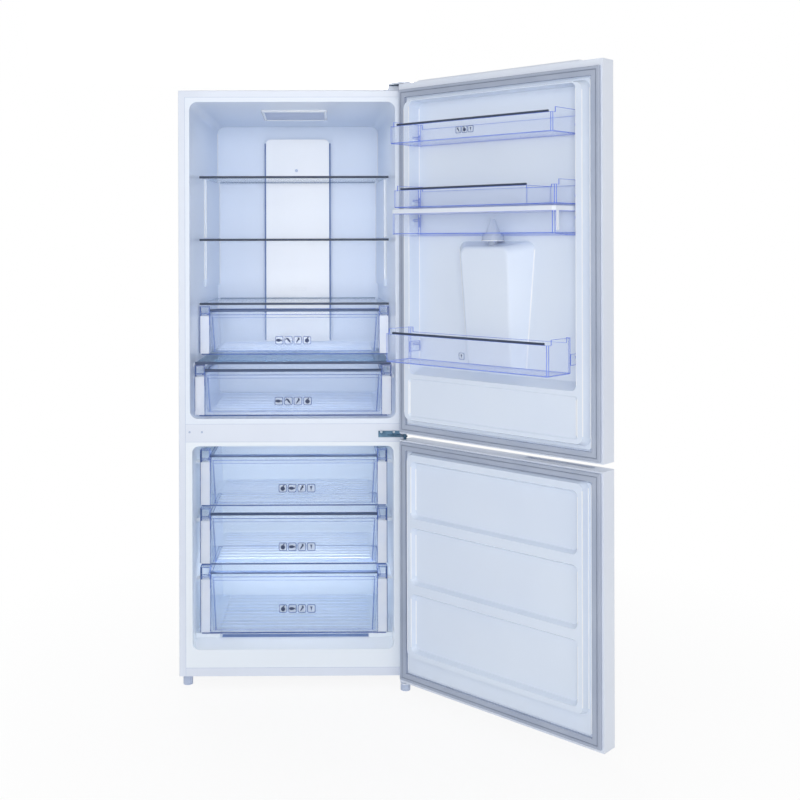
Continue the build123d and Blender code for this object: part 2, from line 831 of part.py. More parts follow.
def drawer_bowl(tub, grow, low):
    """Tub inside its outer face by grow, narrower at its floor."""
    half = tub.tub_half - grow
    y0 = tub.front + tub_front + grow
    y1 = tub.back - grow
    draft = tub_draft * (tub.lip - low) / (tub.lip - tub.base)
    side = side_profile([(y0, tub.lip), (y0 + draft, low), (y1 - draft, low), (y1, tub.lip)], half)
    end = make_face(Polyline([(-half, tub.lip), (draft - half, low), (half - draft, low), (half, tub.lip)],
                             close=True).edges())
    bowl = side & extrude(Plane.XZ.offset(-y1) * end, y1 - y0)
    corners = bowl.edges().filter_by(lambda e: abs((e @ 1).Z - (e @ 0).Z) > tub_cut)
    return chamfer(corners, tub_cut)


def drawer_lip(tub):
    """Rim that slides on the liner's ledges, cut away behind the posts."""
    w = drawer_wall
    z = (tub.lip - w, tub.lip)
    wide = tub.tub_half + lip_w
    lip = block((-wide, wide), (tub.front + tub_front, tub.back), z)
    notch = block((tub.tub_half, tub.half), (tub.front, tub.front + post_d + rail_gap),
                  (tub.lip - 2 * w, tub.lip + w))
    for side in both_sides(notch):
        lip -= side
    return lip


def make_drawer(tub, heel_r, lift, ribs):
    w = drawer_wall
    floor_z = tub.base + lift
    body = drawer_front(tub)
    for side in both_sides(drawer_post(tub, heel_r)):
        body += side
    body += drawer_bowl(tub, 0, floor_z)
    body += drawer_lip(tub)
    body -= drawer_bowl(tub, w, floor_z + w)
    x = tub.tub_half - rib_in
    for i in range(ribs):
        y = tub.front + tub_front + rib_ends + i * (tub.depth - 2 * rib_ends) / (ribs - 1)
        body += block((-x, x), (y - rib_w / 2, y + rib_w / 2), (floor_z + w / 2, floor_z + w + rib_h))
    return body


def make_drawer_trim(tub):
    half = tub.panel_half - seat_gap
    y = tub.front + grip_lean - trim_back
    trim = block((-half, half), (y, y + trim_d), (tub.trim - trim_t / 2, tub.trim + trim_t / 2))
    return chamfer(edges_at(trim, Axis.X, (Axis.Y, 0)), trim_edge)


# --- hinges, feet, rollers -----------------------------------------------------------------------------
def pin_hull(x0, x1, y0, y1, r):
    """Outline of an arm from a rectangle on the cabinet to the hinge pin."""
    foot = Pos((x0 + x1) / 2, (y0 + y1) / 2) * Rectangle(x1 - x0, y1 - y0)
    eye = Pos(pin_x, -pin_ahead) * Circle(r)
    return make_hull(foot.edges() + eye.edges())


def hinge_pin(z0, z1):
    return rod(pin_r, z0, z1, pin_x, -pin_ahead)


def make_top_hinge():
    z = up_z1 + top_arm_up
    y0 = top_plate_in
    x1 = pin_x + sheet
    base = block((x1 - top_plate_w, x1), (y0, y0 + top_plate_d), (cab_top, cab_top + plate_t))
    base = chamfer(base.edges().filter_by(Axis.Z), top_plate_cut)
    riser = block((x1 - top_arm_w, x1), (y0, y0 + plate_t), (cab_top, z + plate_t))
    arm = Pos(0, 0, z) * extrude(pin_hull(x1 - top_arm_w, x1, y0 - 2 * plate_t, y0 + plate_t, eye_r), plate_t)
    return base + riser + arm + hinge_pin(up_z1 - pin_depth, z + plate_t)


def make_middle_hinge():
    z = split_z - arm_t / 2
    x1 = pin_x - mid_plate_end
    body = block((x1 - mid_plate_w, x1), (-plate_t, 0),
                 (split_z - mid_plate_down, split_z + mid_plate_up))
    body += Pos(0, 0, z) * extrude(pin_hull(x1 - mid_arm_w, x1, -plate_t, 0, eye_r), arm_t)
    body += hinge_pin(low_z1 - pin_depth, up_z0 + pin_depth)
    return body


def make_bottom_hinge():
    y0 = low_plate_in
    x1 = half_w - fold_gap
    plate = block((x1 - low_plate_w, x1), (y0, y0 + low_plate_d), (base_z - plate_t, base_z))
    riser = block((pin_x - foot_r, x1), (y0, y0 + plate_t), (low_arm_z, base_z))
    arm = Pos(0, 0, low_arm_z) * extrude(pin_hull(pin_x - foot_r, x1, 0, y0 + plate_t, foot_r), plate_t)
    return plate + riser + arm + hinge_pin(low_arm_z, low_z0 + pin_depth)


def levelling_foot(x, y, top):
    """Foot with flats to turn it by."""
    return Pos(x, y, 0) * extrude(RegularPolygon(foot_r, foot_sides), top)


def make_roller(side):
    x = side * roller_x
    wheel = cross_rod(roller_r, x - roller_w / 2, x + roller_w / 2, roller_y, roller_r)
    return wheel - cross_rod(axle_r + pin_gap, x - roller_w, x + roller_w, roller_y, roller_r)


def make_hinge_cover():
    z0 = up_z1 + cover_up
    z1 = z0 + cover_roof
    x1 = half_w
    x0 = x1 - cover_w
    y1 = cover_in + cover_d
    w = cover_wall
    tail = block((x0, x1), (cover_in, y1), (cab_top, z1))
    nose = Pos(0, 0, z0) * extrude(pin_hull(x0, x1, 0, cover_in + w, cover_nose_r), cover_roof)
    outer = tail + nose
    outer = chamfer(outer.edges().group_by(Axis.Z)[-1], cover_edge)
    room = block((x0 + w, x1 - w), (cover_in + w, y1 - w), (cab_top - over, z1 - w))
    room += Pos(0, 0, z0 - over) * extrude(
        pin_hull(x0 + w, x1 - w, w, cover_in + 2 * w, cover_nose_r - w), cover_roof + over - w)
    slot = block((x0 - top_plate_w, pin_x + 2 * sheet), (top_plate_in - plate_t, y1 - w),
                 (cab_top - over, cab_top + plate_t + seat_gap))
    return outer - room - slot


# --- doors ----------------------------------------------------------------------------------------------
def make_door_skin(z0, z1):
    lo, hi = z0 + cap_rim, z1 - cap_rim
    body = block((-half_w, half_w), (-door_t, 0), (lo, hi))
    body = fillet(edges_at(body, Axis.Z, (Axis.Y, 0)), door_edge_r)
    inner = block((-half_w + sheet, half_w - sheet), (-door_t + sheet, -sheet), (lo - over, hi + over))
    inner = fillet(edges_at(inner, Axis.Z, (Axis.Y, 0)), door_edge_r - sheet)
    mouth = block((-half_w + return_w, half_w - return_w), (-2 * sheet, over), (lo - over, hi + over))
    return body - inner - mouth


def make_cap(z_end, inward):
    """End cap: a rim over the skin's end and a plug inside it. inward is +1 at a bottom end."""
    z_in = sorted((z_end, z_end + inward * cap_h))
    rim = block((-half_w, half_w), (-door_t, 0), sorted((z_end, z_end + inward * cap_rim)))
    rim = fillet(edges_at(rim, Axis.Z, (Axis.Y, 0)), door_edge_r)
    s = sheet + cap_gap
    plug = block((-half_w + s, half_w - s), (-door_t + s, -s), z_in)
    plug = chamfer(edges_at(plug, Axis.Z, (Axis.Y, 0)), plug_cut)
    face = block((-half_w + return_w, half_w - return_w), (-2 * s, 0), z_in)
    socket = sorted((z_end - inward * over, z_end + inward * socket_depth))
    return rim + plug + face - rod(pin_r + pin_gap, *socket, pin_x, door_gap - pin_ahead)


def grip_groove(z_end, inward):
    x0 = -half_w + grip_in
    groove = block((x0, x0 + grip_w), (-door_t + strip_in, -door_t + strip_in + grip_d),
                   sorted((z_end - inward * over, z_end + inward * grip_h)))
    return chamfer(groove.edges().filter_by(Axis.Z), grip_r)


def make_upper_top_cap():
    half = strip_w / 2
    strip = block((strip_shift - half, strip_shift + half), (-door_t + strip_in, -strip_back),
                  (up_z1 - over, up_z1 + strip_h))
    return make_cap(up_z1, -1) + chamfer(strip.edges().group_by(Axis.Z)[-1], strip_slope)


def make_lower_bottom_cap():
    y = door_gap - pin_ahead
    cap = make_cap(low_z0, 1)
    cap += rod(bush_r, low_arm_z + plate_t + seat_gap, low_z0 + over, pin_x, y)
    cap -= rod(pin_r + pin_gap, low_arm_z, low_z0 + socket_depth, pin_x, y)
    for x in bump_x:
        bump = block((x - bump_w / 2, x + bump_w / 2), (-bump_in - bump_d, -bump_in),
                     (low_z0 - bump_h, low_z0 + over))
        cap += chamfer(bump.edges().group_by(Axis.Z)[0], bump_edge)
    return cap


def make_gasket(lo, hi):
    def frame(inset, y0, y1):
        x = cab_w / 2 - gasket_side - inset
        return block((-x, x), (y0, y1), (lo + inset, hi - inset))

    outer = frame(0, 0, gasket_t)
    seal = chamfer(outer.edges().group_by(Axis.Y)[-1], gasket_edge) - frame(gasket_w, -over, gasket_t + over)
    floor = gasket_t - gasket_groove_d
    groove = frame(gasket_groove_in, floor, gasket_t + over)
    return seal - (groove - frame(gasket_groove_in + gasket_groove_w, floor - over, gasket_t + over))


up_gasket_z = (up_z0 + gasket_up_bottom, up_z1 - gasket_up_top)
low_gasket_z = (low_z0 + gasket_low_bottom, low_z1 - gasket_low_top)


def liner_plate(z0, z1, gasket_z):
    """Flat sheet of a door liner, with the shallow step inside its gasket."""
    x = half_w - return_w
    plate = block((-x, x), (-skin_t, 0), (z0 + cap_h, z1 - cap_h))
    inset = gasket_w + step_in
    w = cab_w - 2 * gasket_side - 2 * inset
    lo, hi = gasket_z[0] + inset, gasket_z[1] - inset
    step = tapered(-skin_t / 2, step_h, (w, lo, hi), (w - step_h, lo + step_h / 2, hi - step_h / 2),
                   step_cut, chamfer)
    return plate + step


def moulding(w, z, height, draft, r, inset=0):
    """Raised moulding that narrows towards the cabinet; inset is the wall left around its core."""
    lo, hi = z[0] + inset, z[1] - inset
    half = w / 2 - inset
    ends = (2 * half, lo, hi), (2 * (half - draft), lo + draft, hi - draft)
    if inset:
        return tapered(-2 * skin_t, height - inset, *ends, core_cut * r, chamfer)
    return tapered(0, height, *ends, r)


def up_recess(grow):
    """Room between the rims; grow is the wall around it."""
    hi = up_dyke_z[1] - recess_top_rim
    y0 = recess_floor - grow
    y1 = dyke_h if grow else dyke_h + over
    w = recess_w + 2 * grow
    ends = ((w - 2 * recess_draft, block_top + sill_slope / 2 - grow, hi - recess_draft + grow),
            (w, block_top - sill_slope / 2 - grow, hi + grow))
    if grow:
        return tapered(y0, y1, *ends, core_cut * recess_r, chamfer)
    return tapered(y0, y1, *ends, recess_r)


def sill_panel(grow):
    """Shallow panel in the solid lower part of the upper liner."""
    half = up_dyke_w / 2 - panel_in + grow
    lo = up_dyke_z[0] + panel_up - grow
    hi = block_top - panel_down + grow
    s = panel_slope
    y1 = dyke_h + (0 if grow else over)
    ends = (2 * (half - s), lo + s, hi - s), (2 * half, lo, hi)
    if grow:
        return tapered(dyke_h - panel_d - grow, y1, *ends, core_cut * panel_r, chamfer)
    return tapered(dyke_h - panel_d, y1, *ends, panel_r)


def up_core():
    """Inside of the upper liner's mouldings."""
    core = moulding(up_dyke_w, up_dyke_z, dyke_h, dyke_draft, dyke_r, liner_t)
    return core - up_recess(liner_t) - sill_panel(liner_t)


def bulge(inset):
    """Bulge over the dispenser: narrower at its foot, deeper at its top, with a sloping roof."""
    foot = recess_floor - (2 * liner_t if inset else 0)
    face = bulge_top_b - inset
    z0, z1 = bulge_z0 - bulge_heel + inset, bulge_z1 + bulge_roof - inset
    half, front_half = bulge_foot_w / 2 - inset, bulge_w / 2 - inset
    plan = make_face(Polyline([(0, foot), (half, foot), (front_half, face), (0, face)], close=True).edges())
    lean = (-bulge_narrow, 0, z0 - z1)
    flank = extrude(Pos(0, 0, z1) * plan, Vector(*lean).length, dir=lean)
    right, left = both_sides(flank)
    side = side_profile([(foot, z0), (bulge_bottom_b - inset, z0 + bulge_heel / 2),
                         (face, z1 - bulge_roof), (foot, z1)], bulge_foot_w)
    body = (right + left) & side
    roof_sides = body.edges().filter_by(lambda e: abs((e @ 0).X) > bulge_w / 4 and
                                        abs((e @ 1).Z - (e @ 0).Z) > bulge_roof - over).group_by(Axis.Z)[-1]
    soften, share = (chamfer, core_cut) if inset else (fillet, 1)
    body = soften(roof_sides, share * bulge_r)
    front = body.faces().sort_by(Axis.Y)[-1]
    above_foot = front.edges().sort_by(Axis.Z)[1:]
    return soften(above_foot, share * bulge_edge_r)


def alcove_profile(outer_y, grow):
    """Side view of the room for a glass, open at the door's front."""
    lo, hi = alcove_z0 - grow, alcove_z1 + grow
    return [(outer_y, lo), (alcove_bottom_b + grow, lo), (alcove_top_b + grow, hi), (outer_y, hi)]


def dispenser_cut():
    """Room for the dispenser housing in the door."""
    return side_profile(alcove_profile(-door_t - 2 * bezel_proud, housing_t), alcove_w / 2 + housing_t)


def make_upper_liner():
    liner = liner_plate(up_z0, up_z1, up_gasket_z)
    liner += moulding(up_dyke_w, up_dyke_z, dyke_h, dyke_draft, dyke_r)
    liner += up_recess(liner_t)
    liner = liner - up_core() - up_recess(0) - sill_panel(0)
    liner += bulge(0)
    liner -= bulge(liner_t)
    liner -= valve_stub(spout_r + seat_gap, bulge_z1 - spout_h, tank_z)
    reach = up_recess(liner_t / 2)
    for lug in bin_lugs():
        for side in both_sides(lug & reach):
            liner += side
    return liner


def foam_slab(z0, z1):
    """Foam between a door's skin and the flat sheet of its liner."""
    s = sheet + fold_gap
    x = half_w - s - cap_rim
    slab = block((-x, x), (-door_t + s, -skin_t), (z0 + cap_h, z1 - cap_h))
    return chamfer(edges_at(slab, Axis.Z, (Axis.Y, 0)), plug_cut)


def make_upper_foam():
    foam = foam_slab(up_z0, up_z1) + up_core() - up_recess(liner_t)
    foam += bulge(liner_t)
    foam -= dispenser_cut()
    return foam - valve_stub(spout_r + over, bulge_z1 - spout_h - over, tank_z)


def low_pockets():
    """Heights of the three recessed panels of the lower door."""
    hi = low_dyke_z[1] - pocket_top
    spans = []
    for _ in range(2):
        spans.append((hi - pocket_h, hi))
        hi -= pocket_h + pocket_bar
    return spans + [(low_dyke_z[0] + pocket_bottom, hi)]


def low_pocket(lo, hi, grow):
    w = low_dyke_w - 2 * pocket_in + 2 * pocket_slope + 2 * grow
    s = pocket_slope
    y1 = low_liner_h + (0 if grow else over)
    ends = (w - 2 * s, lo + s - grow, hi - s + grow), (w, lo - grow, hi + grow)
    if grow:
        return tapered(pocket_floor - grow, y1, *ends, core_cut * pocket_r, chamfer)
    return tapered(pocket_floor, y1, *ends, pocket_r)


def low_core():
    """Inside of the lower liner's moulding."""
    core = moulding(low_dyke_w, low_dyke_z, low_liner_h, low_draft, low_r, liner_t)
    for lo, hi in low_pockets():
        core -= low_pocket(lo, hi, liner_t)
    return core


def make_lower_liner():
    liner = liner_plate(low_z0, low_z1, low_gasket_z)
    liner += moulding(low_dyke_w, low_dyke_z, low_liner_h, low_draft, low_r)
    liner -= low_core()
    for lo, hi in low_pockets():
        liner -= low_pocket(lo, hi, 0)
    return liner


def make_lower_foam():
    return foam_slab(low_z0, low_z1) + low_core()


# --- door bins, tank, dispenser ---------------------------------------------------------------------------
def bin_lugs():
    """Seats on the side of the recess; the recess trims their outer side."""
    y0 = bin_back - bin_back_gap / 2
    return [block((bin_w / 2 + lug_in, recess_w / 2 + liner_t), (y0, y0 + lug_d), (top - lug_h, top))
            for top in lug_tops]


def hook(top, back):
    """End of a bin or tank, with a hook that rests on the liner's lug."""
    y0 = bin_back - seat_gap
    piece = block((bin_w / 2 - over, recess_w / 2 - hook_gap), (y0, y0 + lug_d),
                  (top + seat_gap, top + seat_gap + hook_t))
    cheek = block((bin_w / 2 - bin_t, bin_w / 2), (y0, back + bin_t), (top - cheek_down, top + cheek_up))
    return piece + cheek


def open_box(y0, y1, z0, z1):
    half = bin_w / 2
    outer = block((-half, half), (y0, y1), (z0, z1))
    outer = chamfer(outer.edges().filter_by(Axis.Z), bin_cut)
    outer = chamfer(outer.edges().group_by(Axis.Z)[0], bin_edge)
    room = block((-half + bin_t, half - bin_t), (y0 + bin_t, y1 - bin_t), (z0 + bin_t, z1 + over))
    return outer - chamfer(room.edges().filter_by(Axis.Z), bin_cut)


def make_bin(z0, height, front, back, lug_top, step):
    """Clear bin with higher ends; step is the width of a lower end section."""
    z1 = z0 + height
    ears = z1 + bin_end_rise
    tray = open_box(back, front, z0, ears)
    cut = bin_w / 2 - bin_end_w
    tray -= block((-cut, cut), (back - over, front + over), (z1, ears + over))
    for side in both_sides(block((cut, bin_w), (front - bin_end_slope_d, front + over), (z1, ears + over))):
        tray -= side
    if step:
        wall = -bin_w / 2 + step
        tray += block((wall - bin_t, wall), (back + bin_t / 2, front - bin_t / 2), (z0 + bin_t / 2, z1))
        tray -= block((-cut, wall - bin_t), (front - mid_bin_step_d, front + over),
                      (z1 - mid_bin_step_down, z1 + over))
    for side in both_sides(hook(lug_top, back)):
        tray += side
    return tray


def make_bin_trim(z0, height, front, free_end):
    z1 = z0 + height
    trim = block((-bin_w / 2 + free_end, bin_w / 2 - trim_hinge_end), (front - trim_lap, front + trim_proud),
                 (z1, z1 + trim_h))
    return chamfer(edges_at(trim, Axis.X, (Axis.Y, -1)), trim_edge)


def make_tank():
    half = bin_w / 2
    z1 = tank_z + tank_h
    shoulder = tank_z + tank_dip
    body = block((-half, half), (bin_back, tank_front), (tank_z, z1))
    body = chamfer(body.edges().filter_by(Axis.Z), tank_cut)
    body &= side_profile([(bin_back, z1), (bin_back, shoulder + over), (bin_back + tank_shoulder, shoulder),
                          (valve_b - valve_r, tank_z), (valve_b + valve_r, tank_z),
                          (tank_front - tank_shoulder, shoulder), (tank_front, shoulder + over),
                          (tank_front, z1)], half)
    room = block((-half + bin_t, half - bin_t), (bin_back + bin_t, tank_front - bin_t),
                 (shoulder + bin_t, z1 + over))
    body -= chamfer(room.edges().filter_by(Axis.Z), tank_cut)
    for side in both_sides(hook(lug_tops[-1], bin_back)):
        body += side
    return body - rod(plunger_r + plunger_gap, tank_z - over, shoulder + 2 * bin_t, valve_x, valve_b)


def make_tank_lid():
    z0 = tank_z + tank_h
    half = bin_w / 2 + lid_edge
    lid = block((-half, half), (bin_back - lid_edge, tank_front + lid_edge), (z0, z0 + lid_h))
    lid = chamfer(lid.edges().filter_by(Axis.Z), tank_cut + lid_edge)
    lid = chamfer(lid.edges().group_by(Axis.Z)[-1], lid_edge)
    tab_y = tank_front - lid_tab_w
    return lid + block((-half - lid_edge / 2, -bin_w / 2 - seat_gap), (tab_y - lid_tab_w, tab_y),
                       (z0 - lid_tab_h, z0 + over))


def valve_stub(r, z0, z1, lean=0.0):
    """Ribbed column on the valve's axis."""
    return Pos(valve_x, valve_b, z0) * extrude(RegularPolygon(r, valve_sides), z1 - z0, taper=lean)


def make_tank_valve():
    """Ring on the bulge's roof, with its spout below and its plunger in the tank."""
    top = tank_z - seat_gap
    lean = degrees(atan((plunger_r - plunger_tip_r) / plunger_h))
    valve = rod(valve_r, top - valve_ring_h, top, valve_x, valve_b)
    valve += valve_stub(spout_r, bulge_z1 - spout_h / 2, top)
    return valve + valve_stub(plunger_r, top, top + plunger_h, lean)


def make_dispenser_housing():
    half = alcove_w / 2
    front = -door_t - bezel_proud
    housing = side_profile(alcove_profile(front, housing_t), half + housing_t - alcove_fit)
    bezel = block((-bezel_w / 2, bezel_w / 2), (front, -door_t),
                  (alcove_z0 - bezel_rim, alcove_z1 + bezel_rim + bezel_head))
    housing += chamfer(bezel.edges().filter_by(Axis.Y), bezel_r)
    housing -= side_profile(alcove_profile(front - over, 0), half)
    nozzle = rod(nozzle_r, alcove_z1 - nozzle_h, alcove_z1 + over, 0, nozzle_b)
    housing += nozzle
    tray_z = alcove_z0 + drip_h
    grate_y = -door_t + housing_t
    housing += block((-half, half), (grate_y, grate_y + drip_bar_w), (alcove_z0, tray_z))
    for i in range(drip_bars):
        x = (i - (drip_bars - 1) / 2) * drip_pitch
        housing += block((x - drip_bar_w / 2, x + drip_bar_w / 2), (grate_y, alcove_bottom_b + over),
                         (alcove_z0 - over, tray_z))
    inner = lever_w / 2 + lever_ear_gap
    ear = block((inner, inner + lever_ear_t), (lever_b - lever_ear_r, alcove_top_b),
                (lever_z - lever_ear_r, alcove_z1 + over))
    for side in both_sides(ear):
        housing += side
    return housing - cross_rod(lever_pin_r + pin_gap, -lever_w, lever_w, lever_b, lever_z)


def make_dispenser_lever():
    half = lever_w / 2
    toe = lever_z - lever_len
    back = lever_b + lever_t / 2
    front = lever_b - lever_t / 2
    plate = side_profile([(front, lever_z), (back, lever_z), (back, toe + lever_toe_h), (front, toe),
                          (front - lever_toe, toe), (front, toe + lever_toe_h)], half)
    pin_half = half + lever_ear_gap / 2 + lever_ear_t
    return plate + cross_rod(lever_pin_r, -pin_half, pin_half, lever_b, lever_z)


# --- write every piece -----------------------------------------------------------------------------------
def cabinet_pieces():
    cab = {
        "cabinet_shell": make_cabinet_shell(),
        "back_panel": make_back_panel(),
        "base_tray": make_base_tray(),
        "cabinet_foam": make_foam(),
        "fridge_liner": make_fridge_liner(),
        "freezer_liner": make_freezer_liner(),
        "mullion_cover": make_mullion_cover(),
        "machine_cover": make_machine_cover(),
        "compressor": make_compressor(),
        "air_duct_panel": make_duct_panel(),
        "ceiling_lamp": make_lamp(),
        "crisper_shelf_glass": make_crisper_shelf_glass(),
        "crisper_shelf_frame": make_crisper_shelf_frame(),
        "top_hinge": make_top_hinge(),
        "middle_hinge": make_middle_hinge(),
        "bottom_hinge": make_bottom_hinge(),
        "hinge_cover": make_hinge_cover(),
        "foot_left": levelling_foot(-half_w + foot_inset, foot_y, base_z),
        "foot_right": levelling_foot(pin_x, -pin_ahead, low_arm_z),
        "roller_left": make_roller(-1),
        "roller_right": make_roller(1),
        "upper_crisper": make_drawer(upper_crisper, upper_crisper_heel_r, upper_crisper_lift,
                                     upper_crisper_ribs),
        "upper_crisper_trim": make_drawer_trim(upper_crisper),
        "lower_crisper": make_drawer(lower_crisper, lower_crisper_heel_r, lower_crisper_lift,
                                     lower_crisper_ribs),
        "lower_crisper_trim": make_drawer_trim(lower_crisper),
    }
    for name, z in (("top", top_shelf_z), ("middle", middle_shelf_z), ("lower", lower_shelf_z)):
        cab[f"shelf_{name}_glass"] = make_shelf_glass(z)
        cab[f"shelf_{name}_trim"] = front_trim(z, shelf_front, shelf_half)
    for name, tub in zip(("top", "middle", "bottom"), freezer_tubs()):
        cab[f"freezer_drawer_{name}"] = make_drawer(tub, freezer_drawer_heel_r, freezer_drawer_lift,
                                                     freezer_drawer_ribs)
        cab[f"freezer_trim_{name}"] = make_drawer_trim(tub)
    return cab


def door_pieces():
    return {
        "upper_door_skin": make_door_skin(up_z0, up_z1) - dispenser_cut(),
        "upper_door_foam": make_upper_foam(),
        "upper_door_liner": make_upper_liner(),
        "upper_door_gasket": make_gasket(*up_gasket_z),
        "upper_door_top_cap": make_upper_top_cap(),
        "upper_door_bottom_cap": make_cap(up_z0, 1) - grip_groove(up_z0, 1),
        "dispenser_housing": make_dispenser_housing(),
        "dispenser_lever": make_dispenser_lever(),
        "water_tank": make_tank(),
        "tank_lid": make_tank_lid(),
        "tank_valve": make_tank_valve(),
        "bin_top": make_bin(top_bin_z, top_bin_h, top_bin_front, bin_back, lug_tops[0], 0),
        "bin_middle": make_bin(mid_bin_z, mid_bin_h, mid_bin_front, bin_back, lug_tops[1], mid_bin_step),
        "bin_bottom": make_bin(low_bin_z, low_bin_h, low_bin_front, low_bin_back, lug_tops[2], 0),
        "bin_top_trim": make_bin_trim(top_bin_z, top_bin_h, top_bin_front, trim_free_end),
        "bin_middle_trim": make_bin_trim(mid_bin_z, mid_bin_h, mid_bin_front, mid_bin_step + over),
        "bin_bottom_trim": make_bin_trim(low_bin_z, low_bin_h, low_bin_front, trim_free_end),
        "lower_door_skin": make_door_skin(low_z0, low_z1),
        "lower_door_foam": make_lower_foam(),
        "lower_door_liner": make_lower_liner(),
        "lower_door_gasket": make_gasket(*low_gasket_z),
        "lower_door_top_cap": make_cap(low_z1, -1) - grip_groove(low_z1, -1),
        "lower_door_bottom_cap": make_lower_bottom_cap(),
    }


def pieces():
    placed = {name: place_cab * shape for name, shape in cabinet_pieces().items()}
    placed.update({name: place_door * shape for name, shape in door_pieces().items()})
    return placed


os.makedirs("parts", exist_ok=True)
for node, shape in pieces().items():
    export_step(shape, f"parts/{node}.step")
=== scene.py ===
import json
import math

import bmesh
import bpy
from mathutils import Matrix, Vector
from mathutils.bvhtree import BVHTree


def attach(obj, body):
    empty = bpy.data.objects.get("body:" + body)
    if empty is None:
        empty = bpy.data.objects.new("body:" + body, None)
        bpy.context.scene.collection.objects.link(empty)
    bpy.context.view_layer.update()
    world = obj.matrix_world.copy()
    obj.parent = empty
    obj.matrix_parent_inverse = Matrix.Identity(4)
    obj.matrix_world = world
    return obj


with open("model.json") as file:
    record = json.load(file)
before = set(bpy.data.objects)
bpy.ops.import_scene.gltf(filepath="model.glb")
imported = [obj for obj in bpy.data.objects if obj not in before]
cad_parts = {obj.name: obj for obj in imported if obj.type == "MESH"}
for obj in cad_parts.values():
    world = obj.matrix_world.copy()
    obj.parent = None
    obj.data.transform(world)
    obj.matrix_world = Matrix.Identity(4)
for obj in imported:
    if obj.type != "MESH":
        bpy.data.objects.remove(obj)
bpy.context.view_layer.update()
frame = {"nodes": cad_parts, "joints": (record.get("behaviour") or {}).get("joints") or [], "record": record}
record = frame["record"]
joints = {joint["name"]: joint for joint in frame["joints"]}

# The doors are stored open. OPEN turns a shut door about the hinge axis to where it is stored.
OPEN = Matrix.Rotation(-math.radians(joints["upper_door_hinge"]["range_deg"][0]), 4, "Z")
STILL = Matrix.Identity(4)
MM = 0.001


# --- shader building -------------------------------------------------------------------------
PATCH = (0.35, 0.65)          # noise levels between which one patch colour turns into the other
BUMP_STRENGTH = 0.6
# A liner's colour darkens towards the back of its compartment: painted shade where less light reaches.
LINER_SHADE_UNEVEN = 0.06                 # how far the noise shifts where a liner's painted shade sets in
LINER_SHADE_DEPTH = (0.03, 0.42)    # metres behind the origin, over which a liner's colour darkens towards the back as painted shade
LINER_SHADE_FULL = 0.9              # how far along its colours, into the painted shade, the deepest part of a liner is
LINER_SHADE_STOPS = (0.02, 0.88)
FACING = (0.0, 0.6, 0.95)     # square on, still the colour of the face, the colour of the edge
THICKENS = 0.45               # from here on, clear plastic hides more of what is behind it


def linear(r, g, b):
    """Colour written as 0 to 255 on screen, as the shader takes it."""
    def one(v):
        v /= 255
        return v / 12.92 if v <= 0.04045 else ((v + 0.055) / 1.055) ** 2.4
    return one(r), one(g), one(b), 1.0


